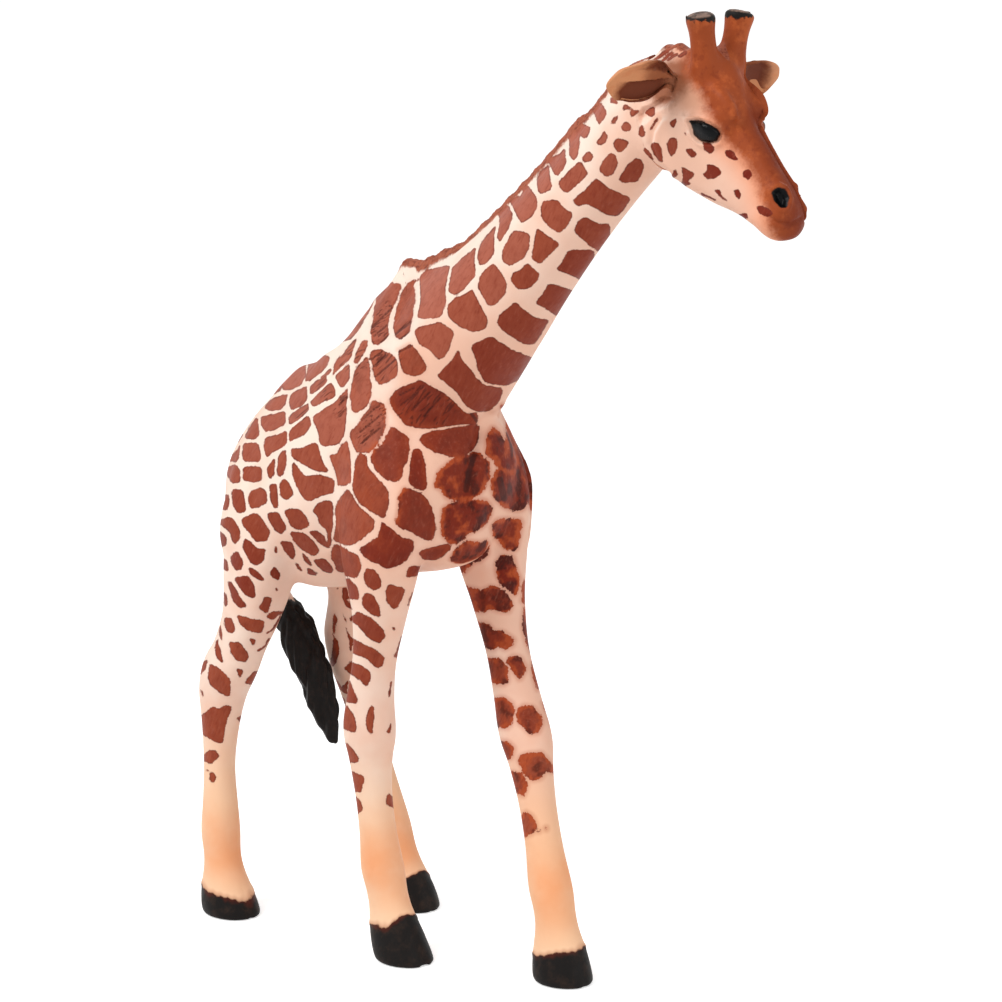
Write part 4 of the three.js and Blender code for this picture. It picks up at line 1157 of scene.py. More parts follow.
def cleft_hooves(skin):
    """Sinks the cut between the toes at the front of each hoof, and raises the ridge at its top"""
    relief = bpy.context.scene.giraffe_relief
    height = skin.places[:, 2] / MM
    heights = np.zeros(skin.count)
    for middle, along in sole_middles(skin).values():
        across = (skin.places[:, 0] - middle) / MM
        ahead = (along - skin.places[:, 1]) / MM
        near = (np.abs(across) < CLEFT_SIDE) & (ahead > 0) & (ahead < CLEFT_LENGTH)
        line = bell(across, 0, CLEFT_WIDTH) * (1 - step(height, *CLEFT_HEIGHTS))
        heights[near] -= (relief.cleft * line)[near]
    coronet = bell(height, hoof_tops(skin), CORONET_WIDTH) * (height < HIGHEST_TOP + 1)
    skin.lift(heights + CORONET_LIFT * MM * coronet)


# The mane's band: half its width, how its surface faces, and the heights over which it starts
MANE_HALF = 1.45
MANE_LEAN = 0.55
MANE_FACING = (0.15, 0.5)
MANE_START = (121, 126)
# Its strands: how they lean, how deep they are cut, and how they wander
STRAND_LEAN = 0.9
STRAND_CUT = 0.38
STRAND_WANDER = (1.2, 0.37)


def mane_marks(skin):
    """Paints the band of the mane along the neck's crest, and gives back where it is"""
    side, _, height = local(skin.places).T
    crest = step(skin.normals[:, 2] + MANE_LEAN * skin.normals[:, 1], *MANE_FACING)
    band = crest * step(height, *MANE_START)
    skin.mark("mane", (MANE_HALF - np.abs(side)) * band - (1 - band))
    return band


def strand_mane(skin, band):
    """Raises the mane's strands"""
    relief = bpy.context.scene.giraffe_relief
    side, back, height = local(skin.places).T
    along = (height - back) / math.sqrt(2) + np.abs(side) * STRAND_LEAN
    sway, slow = STRAND_WANDER
    wave = along / (relief.strand / MM) * math.pi + sway * np.sin(along * slow)
    strands = 1 - STRAND_CUT * (1 - np.abs(np.sin(wave)))
    skin.lift(relief.mane_lift * band * plateau(side, MANE_HALF) * strands)


# How far the crest is raised, along the figure: back, height gained
CREST_LIFTS = (
    (-47, 0), (-45.3, 1.6), (-43, 1.7), (-41, 0.2), (-25, 0), (-22.3, 1.2), (-17, 0.6), (-12, 0.2), (-5, 0),
    (2, -0.6), (5, -1.1), (8, -0.6), (11, 0.3), (14, 0.7), (16.5, 1.5), (18.5, 2.4), (20.8, 2.4),
    (22.3, 0.9), (25, 0.3), (28.7, 0.9), (31, 0.3), (34, 0),
)
# Half the raised crest's width, how its surface faces, and how high it starts
CREST_HALF = 1.9
CREST_FACING = (0.0, 0.4)
CREST_LOW = 100


def raise_crest(skin):
    """Raises the tufts at the withers and the poll, and evens the crest between them"""
    side, back, height = local(skin.places).T
    table = np.array(CREST_LIFTS)
    lift = np.interp(back, table[:, 0], table[:, 1], 0, 0) * plateau(side, CREST_HALF)
    skin.places[:, 2] += lift * step(skin.normals[:, 2], *CREST_FACING) * (height > CREST_LOW) * MM
    skin.refresh()


def seam_out(tilt):
    """The direction out of the trunk through a seam that leans by a tilt in degrees"""
    return (0, -math.cos(math.radians(tilt)), math.sin(math.radians(tilt)))


def backwards(direction):
    """The opposite direction"""
    return [-value for value in direction]


# How often the body's skin is evened
BODY_ROUNDING = 80
# A point on each seam, and the direction out through it: the drawing's sizes, moved into the frame
DRAWN_BACK = -2.9969
NECK_SEAM = (MIDDLE, (14 + DRAWN_BACK) * MM, 112 * MM)
NECK_SEAM_OUT = seam_out(37)
HEAD_SEAM = (MIDDLE, (-38.5 + DRAWN_BACK) * MM, 157 * MM)
HEAD_SEAM_OUT = seam_out(12)
# The heights of the legs' seams, how far above them a leg may be cut, and a place inside the trunk
FORE_SEAM = 66.0
HIND_SEAM = 60.0
SEAM_MARGIN = 1.2
TRUNK_TOP = np.array((MIDDLE, 30 * MM, 125 * MM))


def seam_height(name):
    """How high a leg's seam is, in metres"""
    return (FORE_SEAM if name.startswith("front") else HIND_SEAM) * MM


def leg_zone(name):
    """A test for the faces of one leg below its seam"""

    def inside(middles):
        chosen = middles[:, 2] < seam_height(name) + SEAM_MARGIN * MM
        chosen &= (middles[:, 0] < MIDDLE) == ("right" in name)
        return chosen & ((middles[:, 1] < FORE_HIND_SPLIT * MM) == name.startswith("front"))

    return inside


class GIRAFFE_OT_body(bpy.types.Operator):
    """Skin the torso, neck and legs over their solids, carve and paint them, and part them at their seams"""

    bl_idname = "giraffe.body"
    bl_label = "Torso, neck and legs"

    def execute(self, context):
        relief = context.scene.giraffe_relief
        shape = one_skin("body_skin", BODY_NODES, relief.body_grain, relief.closing)
        skin = Skin(shape)
        skin.rounded(BODY_ROUNDING)
        places, _ = pattern_places(skin)
        carve(skin, places, BODY_FORMS)
        carve(skin, places, [(FOLD_DEPTH, FOLD_WIDTH, fold) for fold in FOLDS])
        for _ in range(CLEFT_PASSES):
            fill_clefts(skin)
        cleft_hooves(skin)
        raise_crest(skin)
        marked_skin(skin)
        leg_marks(skin)
        strand_mane(skin, mane_marks(skin))
        skin.places[:, 2] = np.maximum(skin.places[:, 2], 0)
        skin.refresh()
        coat = coat_material("painted_coat")
        torso = copy_of("torso_moulding", shape.data)
        cut(torso, NECK_SEAM, NECK_SEAM_OUT)
        for name in LEGS:
            cut(torso, (0, 0, seam_height(name)), (0, 0, -1), leg_zone(name))
        keep_linked(torso, TRUNK_TOP)
        finish_piece(torso, "torso", coat)
        neck = copy_of("neck_moulding", shape.data)
        cut(neck, NECK_SEAM, backwards(NECK_SEAM_OUT))
        cut(neck, HEAD_SEAM, HEAD_SEAM_OUT)
        finish_piece(neck, "neck", coat)
        for name in LEGS:
            leg = copy_of(name + "_moulding", shape.data)
            cut(leg, (0, 0, seam_height(name)), (0, 0, 1))
            low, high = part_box(name)
            keep_linked(leg, np.array(((low.x + high.x) / 2, (low.y + high.y) / 2, 0)))
            finish_piece(leg, name, coat)
        bpy.data.objects.remove(shape)
        return {"FINISHED"}


# The eye: the ball's height and how soon it rounds off, then the groove round it and the lid, each with its
# height, the depth in the eye's outline that it runs at and its width, all in millimetres
EYE_BALL = 0.45
EYE_ROUND = 0.5
EYE_LINES = ((-0.3, 0, 0.22), (0.22, -0.5, 0.3))
# The nostril: its depth, how it sinks in, and its raised rim
NOSTRIL_DEPTH = 0.9
NOSTRIL_EDGE = (-0.1, 0.9)
NOSTRIL_RIM = (0.25, -0.35, 0.4)
# The far nostril is where the surface faces to its side
FAR_NOSTRIL = 0.5
FAR_NOSTRIL_EDGE = 3.0


def face_relief(eye, nostril):
    """How far the eyes and nostrils stand out in millimetres, from the depths inside their outlines"""
    heights = EYE_BALL * (1 - np.exp(-np.maximum(eye, 0) / EYE_ROUND))
    heights -= NOSTRIL_DEPTH * step(nostril, *NOSTRIL_EDGE)
    for depth, (height, middle, width) in ((eye, EYE_LINES[0]), (eye, EYE_LINES[1]), (nostril, NOSTRIL_RIM)):
        heights += height * bell(depth, middle, width)
    return heights


# The ears: how far out they start and how much of the head their cut takes in, between which heights and from
# how far back they lie, and how far past the surface the near one's hollow is still seen
EAR_ROOT = 7.2
EAR_OVERLAP = 0.4
EAR_LOW = 158.0
EAR_HIGH = 170.5
EAR_FRONT = -57.0
EAR_SLACK = 0.8
# How far the ears' upper edges are raised: how far out, how much on the near and on the far ear
EAR_LIFTS = (
    (5.8, 0, 0), (6.9, 1.5, 0.6), (8.2, 2.0, 0.8), (9.4, 2.0, 0.8), (11.1, 1.9, 0.8), (12.8, 1.6, 0.7),
    (14.5, 1.25, 0.5), (16.2, 1.1, 0.3), (18.4, 0, 0),
)
# How far round the ear's solid that lift reaches: in towards the head, in front, behind, below and above
EAR_ROUND = (1.4, 1.0, 1.5, 1.5, 0.5)
# The hollow: how far inside the root it may start on the near and on the far ear, and how it deepens
HOLLOW_ROOTS = (1.2, 2.2)
HOLLOW_EDGE = (-0.3, 1.3)
HOLLOW_FACING = (-0.3, 0.3)
# Where the ears' brown roots, partly painted shade, fade out, how far out
ROOT_FADE = (8.0, 12.5)


def ear_zone(side):
    """A test for the faces of one ear beside the head"""

    def inside(middles):
        chosen = (middles[:, 0] - MIDDLE) * side > (EAR_ROOT - EAR_OVERLAP) * MM
        chosen &= (middles[:, 2] > EAR_LOW * MM) & (middles[:, 2] < EAR_HIGH * MM)
        return chosen & (middles[:, 1] > EAR_FRONT * MM)

    return inside


def raise_ears(skin):
    """Raises the upper edges of the ears"""
    side, back, height = local(skin.places).T
    table = np.array(EAR_LIFTS)
    inner, ahead, behind, below, above = EAR_ROUND
    for sign, name, column in ((-1, "right_ear", 1), (1, "left_ear", 2)):
        low, high = (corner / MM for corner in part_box(name))
        rise = step(height, (low.z + high.z) / 2 - below, high.z - above)
        near = (side * sign > EAR_ROOT - inner) & (back > low.y - ahead) & (back < high.y + behind)
        lift = np.interp(side * sign, table[:, 0], table[:, column])
        skin.places[:, 2] += np.where(near, lift * rise, 0) * MM
    skin.refresh()


def ear_cups(skin):
    """How far inside the hollow of its ear each place lies, in millimetres"""
    points, scale = picture_points(skin.places)
    side = skin.places[:, 0] - MIDDLE
    near_depth, far_depth = (depth_in(points, eased(outline)) / scale for outline in EAR_HOLLOWS)
    near_root, far_root = ((EAR_ROOT - inside) * MM for inside in HOLLOW_ROOTS)
    depth = np.where(side < 0, near_depth, far_depth)
    inside = (np.abs(side) > np.where(side < 0, near_root, far_root)) & (depth > -PATCH_REACH)
    front = np.zeros(skin.count)
    front[inside] = skin.seen(skin.places[inside], EAR_SLACK)
    front = skin.evened(front, MARK_ROUNDS)
    far = (side > 0) & (depth > -PATCH_REACH)
    front[far] = (step(-skin.normals[:, 1], *HOLLOW_FACING) * (side > far_root))[far]
    return np.maximum(depth, -PATCH_REACH) * front - PATCH_REACH * (1 - front)


# How often the head's skin is evened
HEAD_ROUNDING = 150
# Where the neck is cut off behind the head's seam, so that only the head's end of it is skinned
NECK_END = (MIDDLE, HEAD_SEAM[1] + 14 * MM, HEAD_SEAM[2])
# Where the black on the horns starts, how much of a horn is its own piece, and how flat its worn top is
HORN_TIP = 173.2
HORN_SHOWN = 5.6
HORN_TOP = (0.7, 0.9)


class GIRAFFE_OT_head(bpy.types.Operator):
    """Skin the head, horns and ears over their solids, carve the eyes, nostrils, brows and jaw, and paint"""

    bl_idname = "giraffe.head"
    bl_label = "Head, horns and ears"

    def execute(self, context):
        relief = context.scene.giraffe_relief
        shape = one_skin("head_skin", HEAD_NODES, relief.head_grain, relief.closing)
        cut(shape, NECK_END, backwards(HEAD_SEAM_OUT))
        skin = Skin(shape)
        skin.rounded(HEAD_ROUNDING)
        places, _ = pattern_places(skin)
        carve(skin, places, HEAD_FORMS)
        points, scale = picture_points(places)
        marks = {name: depth_in(points, eased(outline)) / scale for name, outline in HEAD_OUTLINES.items()}
        far = skin.places[:, 0] > MIDDLE
        facing = FAR_NOSTRIL_EDGE * (skin.normals[far, 0] - FAR_NOSTRIL)
        marks["nostril"][far] = np.minimum(marks["nostril"][far], facing)
        raise_crest(skin)
        raise_ears(skin)
        cup = ear_cups(skin)
        face = face_relief(marks["eye"], marks["nostril"])
        skin.lift(face * MM - relief.hollow * step(cup, *HOLLOW_EDGE))
        marked_skin(skin)
        mane_marks(skin)
        for name, values in marks.items():
            skin.mark(name, values)
        side, _, height = local(skin.places).T
        skin.mark("tip", height - HORN_TIP)
        skin.mark("hollow", cup)
        skin.mark("worn", step(skin.normals[:, 2], *HORN_TOP))
        skin.mark("ear", np.where(height > EAR_LOW, np.abs(side) - EAR_ROOT, -PATCH_REACH))
        # Brown towards the ears' roots, partly painted shade
        skin.mark("inward", 1 - step(np.abs(side), *ROOT_FADE))
        coat = coat_material("painted_head", head=True)
        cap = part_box("right_horn")[1].z - HORN_SHOWN * MM
        head = copy_of("head_moulding", shape.data)
        cut(head, HEAD_SEAM, backwards(HEAD_SEAM_OUT))
        cut(head, (0, 0, cap), (0, 0, 1))
        for side in (-1, 1):
            cut(head, (MIDDLE + side * EAR_ROOT * MM, 0, 0), (side, 0, 0), ear_zone(side))
        finish_piece(head, "head", coat)
        for side, name in ((-1, "right_horn"), (1, "left_horn")):
            horn = copy_of(name + "_moulding", shape.data)
            cut(horn, (0, 0, cap), (0, 0, -1))
            cut(horn, (MIDDLE, 0, 0), (-side, 0, 0))
            finish_piece(horn, name, coat)
        for side, name in ((-1, "right_ear"), (1, "left_ear")):
            ear = copy_of(name + "_moulding", shape.data)
            cut(ear, (MIDDLE + side * EAR_ROOT * MM, 0, 0), (-side, 0, 0))
            low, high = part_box(name)
            tip = low.x if side < 0 else high.x
            keep_linked(ear, np.array((tip, (low.y + high.y) / 2, (low.z + high.z) / 2)))
            finish_piece(ear, name, coat)
        bpy.data.objects.remove(shape)
        return {"FINISHED"}


# How often the tail's skin is evened
TAIL_ROUNDING = 12
# The tuft: where it starts, how it fades in, how fine its strands are on each axis, how much they stand out,
# and how ragged the black starts
TUFT_TOP = 58.0
TUFT_FADE = (-3, 2)
TUFT_GRAIN = np.array((900, 900, 130))
TUFT_GAIN = 1.6
TUFT_RAGGED = 0.6


class GIRAFFE_OT_tail(bpy.types.Operator):
    """Skin the tail over its solid and carve the strands of its tuft"""

    bl_idname = "giraffe.tail"
    bl_label = "Tail"

    def execute(self, context):
        relief = context.scene.giraffe_relief
        shape = one_skin("tail_moulding", ("tail",), relief.head_grain, 0)
        skin = Skin(shape)
        skin.rounded(TAIL_ROUNDING)
        height = skin.places[:, 2] / MM
        tuft = 1 - step(height - TUFT_TOP, *TUFT_FADE)
        grain = np.array([noise.noise(Vector(place * TUFT_GRAIN)) for place in skin.places])
        skin.lift(relief.tuft_lift * tuft * grain * TUFT_GAIN)
        skin.mark("tuft", TUFT_TOP + TUFT_RAGGED * grain - height)
        finish_piece(shape, "tail", tail_material("painted_tail"))
        return {"FINISHED"}


def put(tree, socket, value):
    """Feeds an input with another node's output, a colour or a value"""
    if isinstance(value, bpy.types.NodeSocket):
        tree.links.new(value, socket)
    elif socket.type == "RGBA":
        socket.default_value = (*value, 1)
    else:
        socket.default_value = value


def add(tree, kind, settings=(), **inputs):
    """Adds a node, sets it up and feeds its inputs, with an underscore for each space in their names"""
    node = tree.nodes.new(kind)
    for name, value in dict(settings).items():
        setattr(node, name, value)
    for name, value in inputs.items():
        put(tree, node.inputs[name.replace("_", " ")], value)
    return node


def sums(tree, operation, *values):
    """A sum on two values"""
    node = add(tree, "ShaderNodeMath", {"operation": operation})
    for socket, value in zip(node.inputs, values):
        put(tree, socket, value)
    return node.outputs[0]


def plus(tree, first, second):
    """Two values added"""
    return sums(tree, "ADD", first, second)


def times(tree, first, second):
    """Two values multiplied"""
    return sums(tree, "MULTIPLY", first, second)


def ranged(tree, value, low, high, to_low=0.0, to_high=1.0):
    """A value carried smoothly from one range to another"""
    node = add(
        tree, "ShaderNodeMapRange", {"interpolation_type": "SMOOTHSTEP"},
        Value=value, From_Min=low, From_Max=high, To_Min=to_low, To_Max=to_high,
    )
    return node.outputs["Result"]


def straight(tree, value, low, high):
    """A value carried evenly from one range to 0 to 1"""
    return add(tree, "ShaderNodeMapRange", Value=value, From_Min=low, From_Max=high).outputs["Result"]


def mixed(tree, share, first, second):
    """One colour laid over another by a share"""
    node = add(tree, "ShaderNodeMix", {"data_type": "RGBA"})
    for name, kind, value in (("Factor", "VALUE", share), ("A", "RGBA", first), ("B", "RGBA", second)):
        put(tree, next(into for into in node.inputs if (into.name, into.type) == (name, kind)), value)
    return next(socket for socket in node.outputs if socket.type == "RGBA")


def speckle(tree, size, detail=3, roughness=0.6, lean=None, reach=5):
    """Noise of a size in millimetres, fixed to the figure, drawn out along a lean in degrees if given"""
    place = tree.nodes.new("ShaderNodeTexCoord").outputs["Object"]
    if lean is not None:
        place = add(
            tree, "ShaderNodeMapping", {"vector_type": "TEXTURE"}, Vector=place,
            Rotation=(math.radians(180 - lean), 0.0, 0.0), Scale=(1.0, reach, 1.0),
        ).outputs["Vector"]
    node = add(
        tree, "ShaderNodeTexNoise", Vector=place, Scale=1 / (size * MM), Detail=detail, Roughness=roughness
    )
    return node.outputs[0]


# The paint's plain noises: size in millimetres, detail, roughness, then for streaks their lean in degrees
CLOUD = (9.0, 3, 0.5)
BLOT = (3.4, 3, 0.55)
STREAK = (0.5, 3, 0.6, 62)
# The noises that lay a colour, with where each starts and ends and how much of the colour is laid there
SPECKS = {
    "mottle": ((2.6, 4, 0.6), (0.5, 0.68, 0.0, 0.45)), "dusk": ((1.7, 4, 0.6), (0.55, 0.7, 0.0, 0.4)),
    "dapple": ((1.8, 4, 0.65), (0.4, 0.75, 0.0, 0.3)), "line": ((2.4, 3, 0.6), (0.35, 0.65, 0.25, 0.8)),
    "dash": ((0.45, 1, 0.4, 42, 12), (0.56, 0.64, 0.0, 0.6)),
    "strand": ((0.4, 2, 0.5, 45), (0.45, 0.65, 0.0, 0.6)),
    "rubbed": ((0.9, 3, 0.6), (0.35, 0.6, 0.1, 0.8)), "worn": ((2.4, 4, 0.6), (0.45, 0.75, 0.0, 0.8)),
    "tuft": ((1.2, 4, 0.6), (0.45, 0.8, 0.0, 0.6)),
}


def specks(tree, name):
    """How much of a colour one of the noises lays"""
    noises, fade = SPECKS[name]
    return ranged(tree, speckle(tree, *noises), *fade)


def read(tree, name):
    """A value that the mesh carries"""
    return add(tree, "ShaderNodeAttribute", {"attribute_name": name}).outputs["Fac"]


def group(name, inputs, outputs):
    """An empty node group with named inputs and outputs"""
    tree = bpy.data.node_groups.new(name, "ShaderNodeTree")
    for label, default in inputs:
        socket = tree.interface.new_socket(label, in_out="INPUT", socket_type="NodeSocketFloat")
        socket.default_value = default
    for label, kind in outputs:
        tree.interface.new_socket(label, in_out="OUTPUT", socket_type=kind)
    return tree, tree.nodes.new("NodeGroupInput"), tree.nodes.new("NodeGroupOutput")


# The middle value of a noise
NOISE_MIDDLE = 0.5
# A brush's edge: the sizes of its coarse and fine waves in millimetres, and the fine ones' share
BRUSH_WAVES = (1.5, 0.45)
BRUSH_FINE = 0.6


def brush_edge_group():
    """Turns a depth in millimetres into a painted area with a hand-painted, slightly ragged edge"""
    tree, given, made = group(
        "brush_edge", (("Depth", 0.0), ("Softness", 0.08), ("Raggedness", 0.5)),
        (("Mask", "NodeSocketFloat"),),
    )
    coarse, fine = (sums(tree, "SUBTRACT", speckle(tree, size), NOISE_MIDDLE) for size in BRUSH_WAVES)
    wobble = plus(tree, coarse, times(tree, fine, BRUSH_FINE))
    depth = plus(tree, given.outputs["Depth"], times(tree, wobble, given.outputs["Raggedness"]))
    share = sums(tree, "DIVIDE", depth, given.outputs["Softness"])
    tree.links.new(ranged(tree, share, -1.0, 1.0), made.inputs["Mask"])
    return tree


# The hide's pores and how deep they are beside the hair, and the height of both in millimetres
PORE = (0.25, 2, 0.5)
PORE_SHARE = 0.3
HIDE_HEIGHT = 0.12
HIDE_STRENGTH = 0.4
# The patches of different gloss: their size in millimetres, and how far the roughness changes
GLOSS_SIZE = 2.2
GLOSS_CHANGE = (0.3, 0.7, -0.05, 0.07)
SHEEN = 0.1


def moulded_group():
    """The fine hair and dimples of a moulded hide, as a bumped normal and a slight change of gloss"""
    tree, given, made = group(
        "moulded_hide", (("Strength", 0.3),), (("Normal", "NodeSocketVector"), ("Gloss", "NodeSocketFloat"))
    )
    height = plus(tree, speckle(tree, *STREAK), times(tree, speckle(tree, *PORE), PORE_SHARE))
    bump = add(
        tree, "ShaderNodeBump", Strength=given.outputs["Strength"], Distance=HIDE_HEIGHT * MM, Height=height
    )
    tree.links.new(bump.outputs["Normal"], made.inputs["Normal"])
    tree.links.new(ranged(tree, speckle(tree, GLOSS_SIZE), *GLOSS_CHANGE), made.inputs["Gloss"])
    return tree


def effect(tree, name, make, **inputs):
    """Adds a node of a shared group, which is made the first time, and feeds its inputs"""
    node = add(tree, "ShaderNodeGroup", {"node_tree": bpy.data.node_groups.get(name) or make()})
    for label, value in inputs.items():
        put(tree, node.inputs[label], value)
    return node.outputs


# How soft each mark's edge is and how far it wanders, in millimetres
EDGES = {
    "face": (1.3, 1.6), "temple": (1.8, 1.2), "root": (1.3, 1.2), "muzzle": (2.2, 1.2), "fold": (0.14, 0.2),
    "mane": (0.25, 0.9), "hollow": (1.1, 1.2), "ear": (1.0, 1.0), "tip": (0.2, 1.6), "eye": (0.12, 0.25),
    "nostril": (0.12, 0.25), "hoof": (0.2, 0.6), "tuft": (0.3, 1.2),
}


def painted(tree, depth, softness, raggedness):
    """How much of a paint is laid at a depth inside its area"""
    inputs = {"Depth": depth, "Softness": softness, "Raggedness": raggedness}
    return effect(tree, "brush_edge", brush_edge_group, **inputs)["Mask"]


def mask(tree, name):
    """How much paint is laid on a mark that the mesh carries"""
    return painted(tree, read(tree, name), *EDGES[name])


def plastic(name, build):
    """A painted plastic, whose colour and roughness a function builds"""
    material = bpy.data.materials.new(name)
    material.use_nodes = True
    tree = material.node_tree
    shader = tree.nodes["Principled BSDF"]
    hide = effect(tree, "moulded_hide", moulded_group, Strength=HIDE_STRENGTH)
    base, roughness = build(tree)
    tree.links.new(hide["Normal"], shader.inputs["Normal"])
    tree.links.new(base, shader.inputs["Base Color"])
    tree.links.new(plus(tree, roughness, hide["Gloss"]), shader.inputs["Roughness"])
    shader.inputs["Specular IOR Level"].default_value = SHEEN
    return material


# How much the clouds, and the blush of painted shade, add to the pink of the ground
CLOUD_SHARE = 0.6
BLUSH_SHADE_SHARE = 0.5
# How much of each colour is laid at most
SANDY_SHARE = 0.75
UNDERSIDE_SHADE_SHARE = 0.5
TEMPLE_SHARE = 0.8
ROOT_SHARE = 0.92
MUZZLE_AND_SHADE_SHARE = 0.8
FOLD_SHADE_SHARE = 0.75
EAR_MOTTLE_SHARE = 0.5
EAR_BROWN_SHARE = 0.85
# Fades along a noise or a depth: where each starts and ends, and how much is laid there
FLUSH = (0.28, 0.85, 0.05, 0.9)
WARMTH = (0.2, 0.7, 0.4, 0.9)
FACE_GLOW = (-4.2, 0.4, 0.0, 0.8)
RUSTY_EDGE = (0.1, 1.2, 0.16, 0.0)
RUST_BRIGHT = (0.54, 0.7, 0.0, 0.8)
RUST_DARK = (0.5, 0.37, 0.0, 0.85)
RUST_HALO = (-0.9, 0.1, 0.0, 0.45)
EDGE_LINE = (0.05, 0.3, 1.0, 0.0)
STREAK_DARK = (0.5, 0.75, 0.0, 0.4)
STREAK_PALE = (0.48, 0.25, 0.0, 0.25)
CREASE_FADE = (0.0, 0.8)
HOOF_FADE = (-1.1, 0.2, 0.0, 0.5)
HOOF_THIN = (2.6, 1.4, 0.0, 0.35)
# How far the blotches shift the thin paint of a hoof, in millimetres
HOOF_BLOT = 3.0
# How soft a patch's edge is, how far it wanders, and how much farther where it is rusty
PATCH_SOFTNESS = 0.09
PATCH_RAGGED = 0.5
RUSTY_RAGGED = 0.8


def ground_paint(tree, colours, cloud):
    """The pale ground with its pink blush, which is partly painted shade"""
    flush = plus(tree, times(tree, cloud, CLOUD_SHARE), times(tree, read(tree, "blush_shade"), BLUSH_SHADE_SHARE))
    return mixed(tree, ranged(tree, flush, *FLUSH), colours.cream, colours.shade_peach)


def leg_paint(tree, colours, ground, cloud):
    """The sandy lower legs, with orange on the shins and fetlocks, and peach painted shade where the surface
    faces down
    """
    ground = mixed(tree, times(tree, read(tree, "sandy"), SANDY_SHARE), ground, colours.sand)
    warm = times(tree, read(tree, "warm"), ranged(tree, cloud, *WARMTH))
    ground = mixed(tree, warm, ground, colours.orange)
    return mixed(tree, times(tree, read(tree, "inner"), UNDERSIDE_SHADE_SHARE), ground, colours.shade_peach)


def face_paint(tree, colours, ground, mottle, root):
    """The brown face and lips, with the fades beside them, behind the eye and at the ears' roots, the last
    partly painted shade
    """
    brown = mixed(tree, mottle, colours.face, colours.face_bright)
    brown = mixed(tree, specks(tree, "dusk"), brown, colours.muzzle)
    ground = mixed(tree, ranged(tree, read(tree, "face"), *FACE_GLOW), ground, colours.glow)
    ground = mixed(tree, times(tree, mask(tree, "temple"), TEMPLE_SHARE), ground, colours.temple)
    # The ears' roots: brown that is partly painted shade beneath the ears
    ground = mixed(tree, times(tree, root, ROOT_SHARE), ground, colours.ear_root_and_shade)
    ground = mixed(tree, mask(tree, "face"), ground, brown)
    # The dark front of the lips, reaching up the nose as painted shade
    return mixed(tree, times(tree, mask(tree, "muzzle"), MUZZLE_AND_SHADE_SHARE), ground, colours.muzzle)


def patch_paint(tree, colours, depth, rust, blot):
    """The patches' paint: its tone of painted sheen and shade, its blotches, its dark edge, its streaks, and
    the painted shade of its creases and folds
    """
    shade = read(tree, "shade")
    # The tone: pink brown where it is partly painted sheen, dark red where it is partly painted shade
    tint = mixed(tree, straight(tree, shade, 0.0, MIDDLE_TONE), colours.sheen_pink_brown, colours.red_brown)
    tint = mixed(tree, straight(tree, shade, MIDDLE_TONE, 1.0), tint, colours.dark_red)
    tint = mixed(tree, specks(tree, "dapple"), tint, colours.dark_red)
    bright = ranged(tree, plus(tree, blot, ranged(tree, depth, *RUSTY_EDGE)), *RUST_BRIGHT)
    tint = mixed(tree, times(tree, bright, rust), tint, colours.rust)
    tint = mixed(tree, times(tree, ranged(tree, blot, *RUST_DARK), rust), tint, colours.blotch_and_fold_shade)
    line = times(tree, ranged(tree, depth, *EDGE_LINE), specks(tree, "line"))
    tint = mixed(tree, times(tree, line, sums(tree, "SUBTRACT", 1.0, rust)), tint, colours.patch_edge)
    streak = speckle(tree, *STREAK)
    tint = mixed(tree, ranged(tree, streak, *STREAK_DARK), tint, colours.dark_red)
    tint = mixed(tree, ranged(tree, streak, *STREAK_PALE), tint, colours.sheen_pink_brown)
    # Dark dashes of painted shade along the creases
    shaded_creases = times(tree, specks(tree, "dash"), ranged(tree, read(tree, "crease_shade"), *CREASE_FADE))
    tint = mixed(tree, shaded_creases, tint, colours.blotch_and_fold_shade)
    # The folds darkened with painted shade
    return mixed(tree, times(tree, mask(tree, "fold"), FOLD_SHADE_SHARE), tint, colours.blotch_and_fold_shade)


def ear_paint(tree, colours, mottle, root):
    """The ears' rims, brown towards their roots, and their dark hollows, both partly painted shade"""
    rim = mixed(tree, times(tree, mottle, EAR_MOTTLE_SHARE), colours.ear_rim, colours.face_bright)
    for share in (read(tree, "inward"), root):
        rim = mixed(tree, times(tree, share, EAR_BROWN_SHARE), rim, colours.ear_root_and_shade)
    return mixed(tree, mask(tree, "hollow"), rim, colours.ear_hollow_and_shade)


def horn_paint(tree, colours):
    """The black of the horns, rubbed off at their flat tops"""
    rubbed = times(tree, specks(tree, "rubbed"), read(tree, "worn"))
    return mixed(tree, rubbed, colours.hoof, colours.horn_worn)


def hoof_paint(tree, colours, base, blot):
    """The black of the hooves over the coat, thin at its top and with a brown fade above it"""
    depth = read(tree, "hoof")
    black = mixed(tree, specks(tree, "worn"), colours.hoof, colours.hoof_worn)
    thin = ranged(tree, plus(tree, depth, times(tree, blot, HOOF_BLOT)), *HOOF_THIN)
    black = mixed(tree, thin, black, colours.muzzle)
    base = mixed(tree, ranged(tree, depth, *HOOF_FADE), base, colours.face)
    return mixed(tree, mask(tree, "hoof"), base, black)


